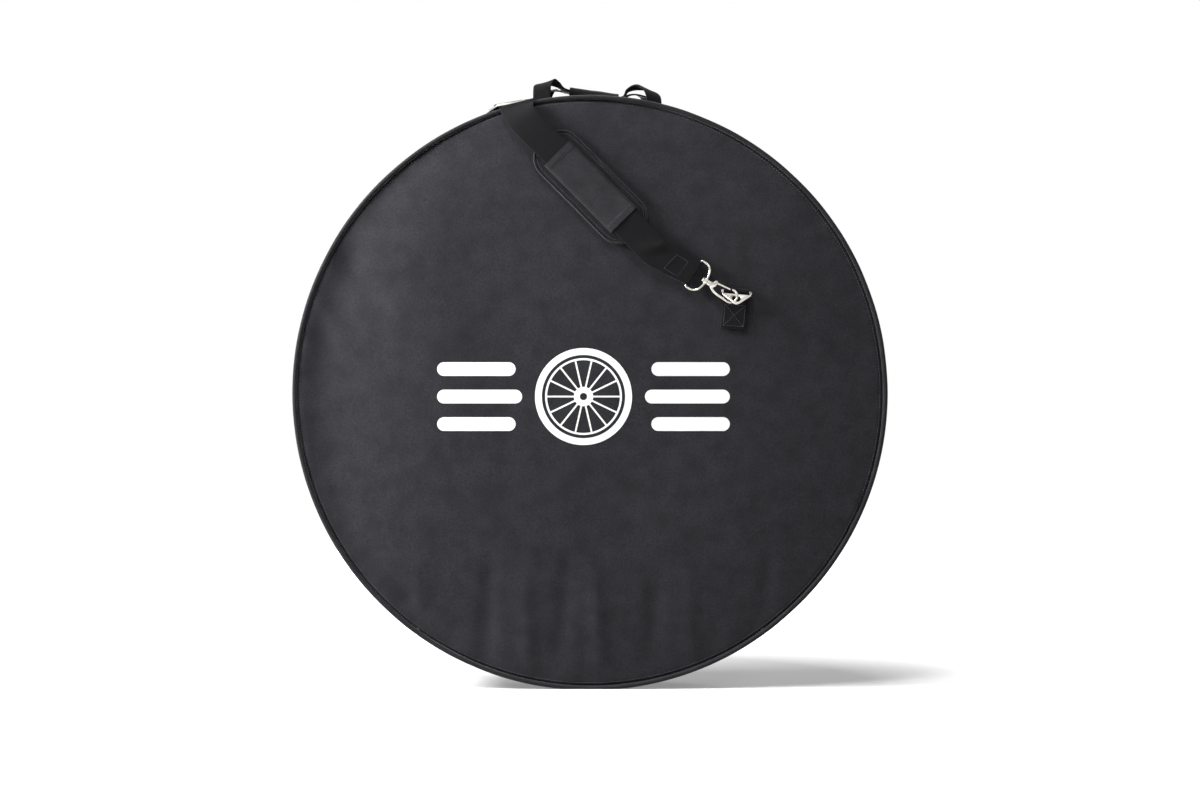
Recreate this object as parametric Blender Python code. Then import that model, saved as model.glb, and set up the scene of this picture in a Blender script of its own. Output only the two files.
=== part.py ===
"""Padded round bag for one bicycle wheel, standing on its rim.

The bag's axle line runs along Y, its front panel faces -Y and the ground is Z = 0.
Two domed panels, each of fabric, foam and lining, are sewn with piping to a gusset.
A zip runs round most of the gusset, so the front panel folds down on a sill at the foot.
A shoulder strap runs from a ring on the front, over the rim, to a ring on the back.
All lengths are in metres and all angles in degrees.
"""
import math

import bmesh
import bpy
from mathutils import Matrix, Vector

for old_object in list(bpy.data.objects):
    bpy.data.objects.remove(old_object, do_unlink=True)

MM = 0.001

# Overall size and seams
RIM_RADIUS = 370 * MM
HALF_DEPTH = 50 * MM
DOME_RISE = 12 * MM
FOOT_HALF_WIDTH = 40 * MM
RIM_SIDES = 60
GAP = 0.3 * MM
OVERRUN = 2 * MM
ZIP_START = -54
ZIP_END = 234

# Cloth and foam
FABRIC = 1.2 * MM
PANEL_FOAM = 5 * MM
GUSSET_FOAM = 4 * MM
LINING = 0.8 * MM
PIPING_RADIUS = 3 * MM
FLANGE = 1.2 * MM
FLANGE_WIDTH = 7 * MM
GUSSET_DROP = 4 * MM
FOOT_CROWN = 5.5 * MM
DOME_SHARES = (0, 0.6, 1)
CROWN_SHARES = ((-1, 0), (-0.8, 0.65), (-0.54, 1), (0.54, 1), (0.8, 0.65), (1, 0))

# Zip
BAND_EDGE = 9 * MM
BAND_DROP = 9.7 * MM
BAND_LINING_EDGE = 17 * MM
TAPE = 0.6 * MM
TAPE_EDGE = 1 * MM
TAPE_WIDTH = 15.7 * MM
COIL_HEIGHT = 2 * MM
COIL_WIDTH = 2.8 * MM
COIL_EDGE = 0.8 * MM
COIL_CHAMFER = 0.6 * MM
STOP_LENGTH = 4 * MM
STOP_HEIGHT = 3 * MM
SLIDER_ANGLE = -51
SLIDER_LENGTH = 12 * MM
SLIDER_HALF_WIDTH = 5 * MM
SLIDER_PLATE = 0.9 * MM
SLIDER_RUN = 0.8 * MM
SLIDER_UNDER_RUN = 1 * MM
SLIDER_POST = 1 * MM
SLIDER_POST_LENGTH = 6 * MM
SLIDER_POST_INSET = 1 * MM
BRIDGE_HALF_WIDTH = 1.2 * MM
BRIDGE_CLEAR = 2 * MM
BRIDGE_BAR = 0.8 * MM
BRIDGE_FOOT = 1.6 * MM
BRIDGE_LENGTH = 8.8 * MM
PULL_LENGTH = 29 * MM
PULL_HALF_WIDTH = 3 * MM
PULL_THICKNESS = 1 * MM
PULL_BAR = 1.2 * MM
PULL_WINDOW = 5.4 * MM
PULL_WINDOW_HALF = 1.7 * MM
PULL_HOLE_RADIUS = 1.5 * MM
PULL_HOLE_INSET = 3.5 * MM

# Webbing handles and their wrap
WEBBING = 1.8 * MM
HANDLE_HALF_WIDTH = 11 * MM
HANDLE_DEPTH = 34 * MM
HANDLE_LEFT = -60 * MM
HANDLE_RIGHT = 80 * MM
HANDLE_RISE = 19.2 * MM
REAR_HANDLE_DROP = 5 * MM
WRAP_END_CLEAR = 3 * MM
WRAP_LENGTH = 62 * MM
WRAP_HALF_WIDTH = 13.2 * MM
WRAP_WALL = 1.2 * MM
WRAP_TILT = 8
WRAP_X = 4 * MM
WRAP_CLEAR = 2.2 * MM
WRAP_OVERLAP = 0.7 * MM

# Shoulder strap
STRAP_HALF_WIDTH = 19 * MM
STRAP_LOOP_HALF_WIDTH = 17 * MM
STRAP_FRONT_ANGLE = 104.3
STRAP_SLANT = 29
STRAP_LIFT = 0.4 * MM
STRAP_SEWN_LENGTH = 32 * MM
STRAP_NECK = 10 * MM
REAR_STRAP_START = 14 * MM
REAR_NECK = 16.4 * MM
SPAN_START = 36 * MM

# Strap pad and its sleeve
PAD_X = 0.6 * MM
PAD_RISE = 254.2 * MM
PAD_ANGLE = 134.7
PAD_LENGTH = 167 * MM
PAD_HALF_WIDTH = 33 * MM
PAD_CORNER = 27 * MM
PAD_THICKNESS = 7 * MM
PAD_CROWN_INSET = 4 * MM
PAD_EDGE_THICKNESS = 4 * MM
PAD_TRAVEL = 31 * MM
SLEEVE_LENGTH = 117 * MM
SLEEVE_HALF_WIDTH = 22 * MM
SLEEVE_WALL = 1.2 * MM

# Tri-glide
GLIDE_HALF_WIDTH = 23 * MM
GLIDE_RAIL = 2.6 * MM
GLIDE_THICKNESS = 2.2 * MM
GLIDE_PITCH = 11 * MM
GLIDE_CENTRE = 20 * MM

# Anchor ring and its webbing tab
RING_X = 181 * MM
RING_RISE = 125.2 * MM
FRONT_TAB_ANGLE = -5
REAR_TAB_ANGLE = -51
RING_TILT = 40
RING_THICKNESS = 2 * MM
RING_HALF_WIDTH = 19 * MM
RING_BAR = 2.2 * MM
RING_SLOT_END = 5.6 * MM
RING_SLOT_HALF = 16.2 * MM
RING_LENGTH = 22.5 * MM
RING_HOLE = 13.3 * MM
RING_HOLE_HALF_WIDTH = 5.6 * MM
RING_HOLE_HALF_HEIGHT = 5.2 * MM
TAB_HALF_WIDTH = 15.7 * MM
TAB_LENGTH = 46 * MM
TAB_LOOP = 2.9 * MM
TAB_TURN = 130
TAB_NECK = 5.3 * MM
TAB_SHOULDER = 8 * MM
TAB_LIFT = 0.25 * MM

# Swivel hook
WIRE = 1.5 * MM
BOW_HALF_WIDTH = 18.9 * MM
BOW_LENGTH = 18 * MM
LOOP_BEND = 2.9 * MM
BOSS_RADIUS = 4 * MM
BOSS_LENGTH = 5 * MM
STEM_CLEAR = 0.35 * MM
HEAD_RADIUS = 3 * MM
HEAD_LENGTH = 2 * MM
BARREL_RADIUS = 3.8 * MM
BARREL_LENGTH = 4.5 * MM
CLAW_BEND = 8 * MM
CLAW_REACH = 54 * MM
CLAW_OFFSET = 1 * MM
CLAW_WIRE = 1.5 * MM
GATE_WIRE = 1.1 * MM
GATE_PIN = 0.7 * MM
GATE_START = 30 * MM
GATE_SIDE = 5.2 * MM
FORK_WALL = 0.9 * MM
FORK_SIZE = 5 * MM
FORK_SINK = 1 * MM
HOOK_CROSSING = 4
HOOK_ANGLE = -28
HOOK_PITCH = 6
HOOK_ROLL = 15

# Places worked out from the sizes above
STEP_ANGLE = 360 / RIM_SIDES
CENTRE_Z = math.sqrt(RIM_RADIUS ** 2 - FOOT_HALF_WIDTH ** 2)
PIPING_RING = RIM_RADIUS - PIPING_RADIUS
PIPING_DEPTH = HALF_DEPTH - PIPING_RADIUS
PANEL_EDGE = RIM_RADIUS - 2 * PIPING_RADIUS - GAP
PANEL_STACK = FABRIC + PANEL_FOAM + LINING + 2 * GAP
FLANGE_DEPTH = HALF_DEPTH - PANEL_STACK - GAP
GUSSET_HALF = FLANGE_DEPTH - FLANGE - GAP
GUSSET_RADIUS = RIM_RADIUS - GUSSET_DROP
CHORD_Z = CENTRE_Z + RIM_RADIUS * math.sin(math.radians(ZIP_START))
GAP_ANGLE = math.degrees(GAP / 2 / RIM_RADIUS)
BAND_RADIUS = RIM_RADIUS - BAND_DROP
BAND_SLOPE = (GUSSET_RADIUS - BAND_RADIUS) / (GUSSET_HALF - BAND_EDGE)
TAPE_RADIUS = BAND_RADIUS - FABRIC - GAP
COIL_BASE = TAPE_RADIUS + GAP
COIL_TOP = COIL_BASE + COIL_HEIGHT
RING_Z = CENTRE_Z + RING_RISE
PAD_Z = CENTRE_Z + PAD_RISE
FRONT = -1
BACK = 1
HALF_TURN = Matrix.Rotation(math.pi, 4, "Z")


def make_material(name, colour, roughness, metallic=0):
    """Return a plain Principled material."""
    material = bpy.data.materials.new(name)
    material.use_nodes = True
    shader = material.node_tree.nodes["Principled BSDF"]
    shader.inputs["Base Color"].default_value = (*colour, 1)
    shader.inputs["Roughness"].default_value = roughness
    shader.inputs["Metallic"].default_value = metallic
    material.diffuse_color = (*colour, 1)
    return material


FINISHES = {
    "fabric": ((0.035, 0.035, 0.038), 0.85, 0),
    "foam": ((0.10, 0.10, 0.10), 0.95, 0),
    "lining": ((0.06, 0.06, 0.065), 0.8, 0),
    "piping": ((0.02, 0.02, 0.02), 0.6, 0),
    "webbing": ((0.012, 0.012, 0.012), 0.75, 0),
    "zip": ((0.015, 0.015, 0.015), 0.5, 0),
    "pad": ((0.03, 0.03, 0.032), 0.85, 0),
    "nickel": ((0.72, 0.69, 0.63), 0.25, 1),
}


def add_object(name, bm, finish, place=None):
    """Turn a bmesh into a named object with a material of its own."""
    bmesh.ops.recalc_face_normals(bm, faces=bm.faces)
    mesh = bpy.data.meshes.new(name)
    bm.to_mesh(mesh)
    bm.free()
    mesh.materials.append(make_material(name, *FINISHES[finish]))
    part = bpy.data.objects.new(name, mesh)
    bpy.context.scene.collection.objects.link(part)
    if place is not None:
        part.matrix_world = place
    return part


def add_boolean(part, tool, operation):
    """Join or cut a part with a guide that the render leaves out."""
    tool.hide_render = True
    tool.display_type = "WIRE"
    modifier = part.modifiers.new(tool.name, "BOOLEAN")
    modifier.operation = operation
    modifier.object = tool


def sweep(rings, closed=False):
    """Join a row of loops of points into a solid, capped unless the row closes on itself.

    The diagonals follow the places of the points, so nested layers bend alike.
    """
    bm = bmesh.new()
    loops = [[bm.verts.new(point) for point in ring] for ring in rings]
    pairs = list(zip(loops, loops[1:]))
    if closed:
        pairs.append((loops[-1], loops[0]))
    for first, second in pairs:
        count = len(first)
        for index in range(count):
            after = (index + 1) % count
            near, far = (first[index], second[index]), (first[after], second[after])
            if near[0].co.y <= far[0].co.y:
                bm.faces.new((near[0], far[0], far[1]))
                bm.faces.new((near[0], far[1], near[1]))
            else:
                bm.faces.new((near[0], far[0], near[1]))
                bm.faces.new((far[0], far[1], near[1]))
    if not closed:
        bm.faces.new(loops[0][::-1])
        bm.faces.new(loops[-1])
    return bm


def box_mesh(low, high):
    """Return a box between two corners as a bmesh."""
    bm = bmesh.new()
    bmesh.ops.create_cube(bm, size=1)
    low, high = Vector(low), Vector(high)
    middle = (low + high) / 2
    bmesh.ops.scale(bm, vec=high - low, verts=bm.verts)
    bmesh.ops.translate(bm, vec=middle, verts=bm.verts)
    return bm


def rim_point(radius, angle, depth):
    """Return the point at a radius and angle round the axle line."""
    turn = math.radians(angle)
    return Vector((radius * math.cos(turn), depth, CENTRE_Z + radius * math.sin(turn)))


def radial(angle):
    """Return the outward direction at an angle round the axle line."""
    return rim_point(1, angle, 0) - rim_point(0, angle, 0)


def turned(profile, start=None, end=None, side=FRONT):
    """Turn an outline of (depth, radius, floor) points about the axle line.

    Depths grow towards the panel of the given side. Without angles the outline goes all the
    way round. A point never sinks below its floor, which flattens the foot on the ground.
    """
    whole = start is None
    first, last = (-90, 270) if whole else (start, end)
    steps = round((last - first) / STEP_ANGLE)
    rings = []
    for step in range(steps if whole else steps + 1):
        angle = first + (last - first) * step / steps
        ring = []
        for depth, radius, floor in profile:
            point = rim_point(radius, angle, side * depth)
            point.z = max(point.z, floor)
            ring.append(point)
        rings.append(ring)
    bm = sweep(rings, closed=whole)
    bmesh.ops.remove_doubles(bm, verts=bm.verts, dist=MM / 1000)
    return bm


def cut_level(bm, height, keep_above):
    """Cut a solid at a level, keep one part and close the cut."""
    normal = Vector((0, 0, -1)) if keep_above else Vector((0, 0, 1))
    geometry = bm.verts[:] + bm.edges[:] + bm.faces[:]
    cut = bmesh.ops.bisect_plane(bm, geom=geometry, dist=MM / 1e4, plane_co=(0, 0, height),
                                 plane_no=normal, clear_outer=True)
    rim = [item for item in cut["geom_cut"] if isinstance(item, bmesh.types.BMEdge)]
    bmesh.ops.contextual_create(bm, geom=rim)
    return bm


def panel_depth(x, z):
    """Return how far the domed panel's face lies from the middle plane."""
    radius = math.hypot(x, z - CENTRE_Z)
    return HALF_DEPTH + DOME_RISE * (1 - (radius / PANEL_EDGE) ** 2)


# Panels

def panel_layer(skip, thickness):
    """Return one domed layer of a panel, lying a distance under its face."""
    face = [(HALF_DEPTH + DOME_RISE * (1 - share ** 2) - skip, PANEL_EDGE * share, 0)
            for share in DOME_SHARES]
    inside = [(depth - thickness, radius, floor) for depth, radius, floor in face]
    return face + inside[::-1]


PANEL_LAYERS = (("fabric", 0, FABRIC), ("foam", FABRIC + GAP, PANEL_FOAM),
                ("lining", FABRIC + PANEL_FOAM + 2 * GAP, LINING))

for layer_name, layer_skip, layer_thickness in PANEL_LAYERS:
    layer = panel_layer(layer_skip, layer_thickness)
    add_object(f"rear_panel_{layer_name}", turned(layer, side=BACK), layer_name)
    cover = cut_level(turned(layer), CHORD_Z + GAP / 2, True)
    add_object(f"front_panel_{layer_name}", cover, layer_name)
    sill = cut_level(turned(layer), CHORD_Z - GAP / 2, False)
    add_object(f"front_sill_{layer_name}", sill, layer_name)


# Piping

PIPING_ANGLES = (45, 90, 135, 180, 225, 270)


def piping_outline():
    """Return the cord and its sewn flange as one closed outline."""
    neck = GUSSET_RADIUS + GAP
    inside = PANEL_EDGE + GAP
    join = PIPING_DEPTH - math.sqrt(PIPING_RADIUS ** 2 - (neck - PIPING_RING) ** 2)
    points = [(FLANGE_DEPTH - FLANGE, neck), (join, neck)]
    for angle in PIPING_ANGLES:
        turn = math.radians(angle)
        points.append((PIPING_DEPTH - PIPING_RADIUS * math.cos(turn),
                       PIPING_RING + PIPING_RADIUS * math.sin(turn)))
    points += [(FLANGE_DEPTH, inside), (FLANGE_DEPTH, inside - FLANGE_WIDTH),
               (FLANGE_DEPTH - FLANGE, inside - FLANGE_WIDTH)]
    return [(depth, radius, 0) for depth, radius in points]


add_object("rear_piping", turned(piping_outline(), side=BACK), "piping")
add_object("front_piping", cut_level(turned(piping_outline()), CHORD_Z + GAP / 2, True), "piping")
add_object("front_sill_piping", cut_level(turned(piping_outline()), CHORD_Z - GAP / 2, False),
           "piping")


# Gusset foot, between the two ends of the zip

def gusset_layer(skip, thickness):
    """Return one crowned layer of the gusset, lying a distance under its face."""
    face = [(share * GUSSET_HALF, GUSSET_RADIUS + rise * FOOT_CROWN - skip, skip)
            for share, rise in CROWN_SHARES]
    inside = [(depth, radius - thickness, floor + thickness) for depth, radius, floor in face]
    return face + inside[::-1]


for layer_name, layer_skip, layer_thickness in (
        ("fabric", 0, FABRIC), ("foam", FABRIC + GAP, GUSSET_FOAM),
        ("lining", FABRIC + GUSSET_FOAM + 2 * GAP, LINING)):
    layer = gusset_layer(layer_skip, layer_thickness)
    foot = turned(layer, ZIP_END + GAP_ANGLE, 360 + ZIP_START - GAP_ANGLE)
    add_object(f"base_gusset_{layer_name}", foot, layer_name)


# Zip bands, tapes and coils

def band_radius(depth):
    """Return the radius of a zip band's face at a depth."""
    return BAND_RADIUS + (depth - BAND_EDGE) * BAND_SLOPE


def band_layer(edge, skip, thickness):
    """Return one sloping layer of a zip band."""
    outer = [(edge, band_radius(edge) - skip, 0), (GUSSET_HALF, GUSSET_RADIUS - skip, 0)]
    inner = [(depth, radius - thickness, floor) for depth, radius, floor in outer]
    return outer + inner[::-1]


TAPE_OUTLINE = [(TAPE_EDGE, TAPE_RADIUS, 0), (TAPE_EDGE + TAPE_WIDTH, TAPE_RADIUS, 0),
                (TAPE_EDGE + TAPE_WIDTH, TAPE_RADIUS - TAPE, 0), (TAPE_EDGE, TAPE_RADIUS - TAPE, 0)]
COIL_OUTLINE = [(COIL_EDGE, COIL_BASE, 0), (COIL_EDGE, COIL_TOP - COIL_CHAMFER, 0),
                (COIL_EDGE + COIL_CHAMFER, COIL_TOP, 0),
                (COIL_EDGE + COIL_WIDTH - COIL_CHAMFER, COIL_TOP, 0),
                (COIL_EDGE + COIL_WIDTH, COIL_TOP - COIL_CHAMFER, 0),
                (COIL_EDGE + COIL_WIDTH, COIL_BASE, 0)]
STOP_ANGLE = math.degrees(STOP_LENGTH / COIL_BASE)
ZIP_RUN = (ZIP_START + GAP_ANGLE, ZIP_END - GAP_ANGLE)
COIL_RUN = (ZIP_RUN[0] + STOP_ANGLE + 2 * GAP_ANGLE, ZIP_RUN[1] - STOP_ANGLE - 2 * GAP_ANGLE)

for side, side_name in ((FRONT, "front"), (BACK, "rear")):
    add_object(f"zip_band_{side_name}_fabric", turned(band_layer(BAND_EDGE, 0, FABRIC), *ZIP_RUN, side),
               "fabric")
    add_object(f"zip_band_{side_name}_lining",
               turned(band_layer(BAND_LINING_EDGE, FABRIC + GAP, LINING), *ZIP_RUN, side), "lining")
    add_object(f"zip_tape_{side_name}", turned(TAPE_OUTLINE, *ZIP_RUN, side), "zip")
    add_object(f"zip_coil_{side_name}", turned(COIL_OUTLINE, *COIL_RUN, side), "zip")


def rim_frame(radius, angle, depth=0):
    """Return axes at the rim: X along the rim, Y along the axle line and Z outwards."""
    out = radial(angle)
    along = Vector((0, 1, 0)).cross(out)
    axes = Matrix((-along, (0, -1, 0), out)).transposed().to_4x4()
    return Matrix.Translation(rim_point(radius, angle, depth)) @ axes


STOP_OUTLINE = [(COIL_EDGE, COIL_BASE, 0), (COIL_EDGE, COIL_BASE + STOP_HEIGHT, 0),
                (COIL_EDGE + COIL_WIDTH, COIL_BASE + STOP_HEIGHT, 0),
                (COIL_EDGE + COIL_WIDTH, COIL_BASE, 0)]


def zip_stop(angle):
    """Return the crimped stop at one end of the zip."""
    rings = []
    for turn in (angle, angle + STOP_ANGLE):
        rings.append([rim_point(radius, turn, depth) for depth, radius, floor in STOP_OUTLINE])
    return sweep(rings)


add_object("zip_stop_closed_end", zip_stop(ZIP_RUN[0]), "nickel")
add_object("zip_stop_open_end", zip_stop(ZIP_RUN[1] - STOP_ANGLE), "nickel")


# Zip slider and its pull

def joined(name, boxes, finish, place):
    """Join boxes given by their corners into one solid."""
    part = add_object(name, box_mesh(*boxes[0]), finish, place)
    for number, corners in enumerate(boxes[1:]):
        tool = add_object(f"{name}_guide_{number}", box_mesh(*corners), finish, place)
        add_boolean(part, tool, "UNION")
    return part


SLIDER_PLACE = rim_frame(COIL_TOP, SLIDER_ANGLE)
UNDER_TOP = -(COIL_HEIGHT + GAP + TAPE + SLIDER_UNDER_RUN)
PLATE_TOP = SLIDER_RUN + SLIDER_PLATE
BRIDGE_TOP = PLATE_TOP + BRIDGE_CLEAR + BRIDGE_BAR
HALF_SLIDER = SLIDER_LENGTH / 2
POST_START = -HALF_SLIDER + SLIDER_POST_INSET
BRIDGE_END = POST_START + BRIDGE_LENGTH
BRIDGE = BRIDGE_HALF_WIDTH
PULL_PIVOT = POST_START + BRIDGE_FOOT + (BRIDGE_LENGTH - 2 * BRIDGE_FOOT) / 2
SINK = 0.2 * MM

joined("zip_slider", (
    ((-HALF_SLIDER, -SLIDER_HALF_WIDTH, SLIDER_RUN), (HALF_SLIDER, SLIDER_HALF_WIDTH, PLATE_TOP)),
    ((-HALF_SLIDER, -SLIDER_HALF_WIDTH, UNDER_TOP - SLIDER_PLATE),
     (HALF_SLIDER, SLIDER_POST / 2, UNDER_TOP)),
    ((POST_START, -SLIDER_POST / 2, UNDER_TOP - SINK),
     (POST_START + SLIDER_POST_LENGTH, SLIDER_POST / 2, SLIDER_RUN + SINK)),
    ((POST_START, -BRIDGE, PLATE_TOP - SINK), (POST_START + BRIDGE_FOOT, BRIDGE, BRIDGE_TOP)),
    ((BRIDGE_END - BRIDGE_FOOT, -BRIDGE, PLATE_TOP - SINK), (BRIDGE_END, BRIDGE, BRIDGE_TOP)),
    ((POST_START, -BRIDGE, BRIDGE_TOP - BRIDGE_BAR), (BRIDGE_END, BRIDGE, BRIDGE_TOP)),
), "nickel", SLIDER_PLACE)

PULL_PLACE = SLIDER_PLACE @ Matrix.Translation((PULL_PIVOT, 0, PLATE_TOP + BRIDGE_CLEAR / 2))
pull_low = (-PULL_BAR / 2, -PULL_HALF_WIDTH, -PULL_THICKNESS / 2)
pull_high = (PULL_LENGTH, PULL_HALF_WIDTH, PULL_THICKNESS / 2)
pull = add_object("zip_pull", box_mesh(pull_low, pull_high), "nickel", PULL_PLACE)
window = box_mesh((PULL_BAR / 2, -PULL_WINDOW_HALF, -OVERRUN), (PULL_WINDOW, PULL_WINDOW_HALF, OVERRUN))
add_boolean(pull, add_object("zip_pull_window_guide", window, "nickel", PULL_PLACE), "DIFFERENCE")
hole = bmesh.new()
bmesh.ops.create_cone(hole, cap_ends=True, segments=12, radius1=PULL_HOLE_RADIUS,
                      radius2=PULL_HOLE_RADIUS, depth=2 * OVERRUN)
bmesh.ops.translate(hole, vec=(PULL_LENGTH - PULL_HOLE_INSET, 0, 0), verts=hole.verts)
add_boolean(pull, add_object("zip_pull_hole_guide", hole, "nickel", PULL_PLACE), "DIFFERENCE")


# Webbing

def ribbon(sections, thickness=WEBBING):
    """Sweep flat webbing through sections of (middle, half width vector, outward direction)."""
    rings = []
    for middle, half, out in sections:
        middle, half = Vector(middle), Vector(half)
        lift = Vector(out).normalized() * thickness / 2
        rings.append([middle - half - lift, middle + half - lift,
                      middle + half + lift, middle - half + lift])
    return sweep(rings)


# Carry handles, which start on the zip bands and meet in the wrap

WRAP_PLACE = (Matrix.Translation((WRAP_X, 0, CENTRE_Z + RIM_RADIUS))
              @ Matrix.Rotation(math.radians(WRAP_TILT), 4, "Y"))
REAR_GRIP = WRAP_WALL + WRAP_CLEAR + WEBBING / 2
FRONT_GRIP = REAR_GRIP + WEBBING + GAP
WRAP_HEIGHT = FRONT_GRIP + WEBBING / 2 + GAP + WRAP_WALL
HALF_WRAP = WRAP_LENGTH / 2


def handle_foot(x, side, half):
    """Return a section whose two lower corners rest on the zip band."""
    corners = []
    for edge in (-1, 1):
        corner_x = x + edge * half[0]
        depth = HANDLE_DEPTH + edge * half[1]
        radius = band_radius(depth + WEBBING / 2) + GAP
        height = CENTRE_Z + math.sqrt(radius ** 2 - corner_x ** 2)
        corners.append(Vector((corner_x, side * depth, height)))
    middle = (corners[0] + corners[1]) / 2
    return middle, corners[1] - middle


def handle(side, grip, drop):
    """Return one handle as sections from its left foot, through the wrap, to its right foot."""
    rise = Vector((0, 0, 1))
    across = Vector((0, side, 0))
    wide = HANDLE_HALF_WIDTH
    left_foot, left_half = handle_foot(HANDLE_LEFT, side, (-wide, 0))
    right_foot, right_half = handle_foot(HANDLE_RIGHT, side, (0.85 * wide, -0.4 * wide))
    left_end = WRAP_PLACE @ Vector((-HALF_WRAP - WRAP_END_CLEAR, 0, grip))
    right_end = WRAP_PLACE @ Vector((HALF_WRAP + WRAP_END_CLEAR, 0, grip))

    def section(x, depth, height, half, out):
        """Return a section at shares of the handle's reach, depth and rise."""
        middle = (x, side * depth * HANDLE_DEPTH, CENTRE_Z + RIM_RADIUS + height * HANDLE_RISE - drop)
        half = Vector((half[0], side * half[1], half[2])).normalized() * wide
        return middle, half, (out[0], side * out[1], out[2])

    return [
        (left_foot, left_half, across),
        section(HANDLE_LEFT, 1, 0.37, (-1, 0, 0), (0, 1, 0)),
        section(0.975 * HANDLE_LEFT, 0.94, 0.74, (-1, -0.35, 0), (-0.1, 0.8, 0.5)),
        section(0.85 * HANDLE_LEFT, 0.7, 1, (-0.65, -0.75, -0.2), (-0.1, 0.4, 0.9)),
        section(0.68 * HANDLE_LEFT, 0.38, 0.9, (-0.25, -1, -0.1), (0.2, 0.1, 1)),
        (left_end, -across * wide, rise),
        (right_end, -across * wide, rise),
        section(0.59 * HANDLE_RIGHT, 0.2, 0.53, (0.1, -1, 0), (-0.4, 0, 1)),
        section(0.725 * HANDLE_RIGHT, 0.47, 0.69, (0.3, -0.95, -0.15), (0, 0.2, 1)),
        section(0.875 * HANDLE_RIGHT, 0.76, 0.53, (0.6, -0.7, -0.2), (0.4, 0.5, 0.8)),
        section(0.98 * HANDLE_RIGHT, 0.97, 0.06, (0.8, -0.5, -0.1), (0.4, 0.9, 0.2)),
        (right_foot, right_half, (0.4, side * 0.9, 0)),
    ]


add_object("handle_front", ribbon(handle(FRONT, FRONT_GRIP, 0)), "webbing")
add_object("handle_rear", ribbon(handle(BACK, REAR_GRIP, REAR_HANDLE_DROP)), "webbing")

WRAP_OUTLINE = ((-WRAP_HALF_WIDTH, 0), (WRAP_HALF_WIDTH - WRAP_OVERLAP, 0),
                (WRAP_HALF_WIDTH - WRAP_OVERLAP, WRAP_WALL), (-WRAP_HALF_WIDTH + WRAP_WALL, WRAP_WALL),
                (-WRAP_HALF_WIDTH + WRAP_WALL, WRAP_HEIGHT - WRAP_WALL),
                (WRAP_HALF_WIDTH, WRAP_HEIGHT - WRAP_WALL), (WRAP_HALF_WIDTH, WRAP_HEIGHT),
                (-WRAP_HALF_WIDTH, WRAP_HEIGHT))
wrap_rings = []
for wrap_end in (-HALF_WRAP, HALF_WRAP):
    wrap_rings.append([WRAP_PLACE @ Vector((wrap_end, depth, height)) for depth, height in WRAP_OUTLINE])
add_object("handle_wrap", sweep(wrap_rings), "webbing")


# Frames on a panel's face

def face_frame(x, z, angle=0, height=0):
    """Return axes on the front panel's face: X at an angle in the face and Z outwards."""
    steep = 2 * DOME_RISE / PANEL_EDGE ** 2
    out = Vector((steep * x, -1, steep * (z - CENTRE_Z))).normalized()
    right = (Vector((1, 0, 0)) - out * out.x).normalized()
    up = out.cross(right)
    turn = math.radians(angle)
    along = right * math.cos(turn) + up * math.sin(turn)
    axes = Matrix((along, out.cross(along), out)).transposed().to_4x4()
    return Matrix.Translation(Vector((x, -panel_depth(x, z), z)) + out * height) @ axes


def spun(degrees, axis):
    """Return a rotation about one axis of a frame."""
    return Matrix.Rotation(math.radians(degrees), 4, axis)


def extruded(points, low, high):
    """Raise a flat outline into a solid between two heights."""
    return sweep([[Vector((x, y, height)) for x, y in points] for height in (low, high)])


def tube(points, radius, sides=8, closed=False):
    """Sweep a round wire along points that lie in the XY plane."""
    rings = []
    count = len(points)
    for index, (x, y) in enumerate(points):
        before = points[index - 1] if closed or index else points[index]
        after = points[(index + 1) % count] if closed or index < count - 1 else points[index]
        heading = Vector((after[0] - before[0], after[1] - before[1], 0)).normalized()
        across = Vector((-heading.y, heading.x, 0))
        ring = []
        for side in range(sides):
            turn = 2 * math.pi * (side + 0.5) / sides
            ring.append(Vector((x, y, 0)) + across * radius * math.cos(turn)
                        + Vector((0, 0, radius * math.sin(turn))))
        rings.append(ring)
    return sweep(rings, closed)


def rod(radius, start, end, sides=12):
    """Return a round bar along X."""
    rings = []
    for x in (start, end):
        ring = []
        for side in range(sides):
            turn = 2 * math.pi * side / sides
            ring.append(Vector((x, radius * math.cos(turn), radius * math.sin(turn))))
        rings.append(ring)
    return sweep(rings)


# Anchor rings and tabs, and the swivel hooks clipped to them

BAR_HEIGHT = GAP + WEBBING / 2 + TAB_LOOP
TAB_LAYERS = (GAP + WEBBING / 2, 2 * GAP + 1.5 * WEBBING)
RING_SHARES = ((-0.95, 0), (-1, 0.06), (-1, 0.17), (-0.92, 0.36), (-0.19, 0.955), (0, 1),
               (0.19, 0.955), (0.92, 0.36), (1, 0.17), (1, 0.06), (0.95, 0))


def ring_outline():
    """Return the stamped ring's outer edge, a bar that narrows to a rounded point."""
    top = RING_BAR / 2
    return [(RING_HALF_WIDTH * side, top - (RING_LENGTH + top) * down) for side, down in RING_SHARES]


def anchor_ring(name, place):
    """Make the stamped ring, with a slot for its webbing and a hole for the hook."""
    ring = add_object(name, extruded(ring_outline(), -RING_THICKNESS / 2, RING_THICKNESS / 2),
                      "nickel", place)
    slot = box_mesh((-RING_SLOT_HALF, -RING_SLOT_END, -OVERRUN), (RING_SLOT_HALF, -RING_BAR / 2, OVERRUN))
    add_boolean(ring, add_object(f"{name}_slot_guide", slot, "nickel", place), "DIFFERENCE")
    hole = bmesh.new()
    bmesh.ops.create_cone(hole, cap_ends=True, segments=16, radius1=1, radius2=1, depth=2 * OVERRUN)
    bmesh.ops.scale(hole, vec=(RING_HOLE_HALF_WIDTH, RING_HOLE_HALF_HEIGHT, 1), verts=hole.verts)
    bmesh.ops.translate(hole, vec=(0, -RING_HOLE, 0), verts=hole.verts)
    add_boolean(ring, add_object(f"{name}_hole_guide", hole, "nickel", place), "DIFFERENCE")


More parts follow.
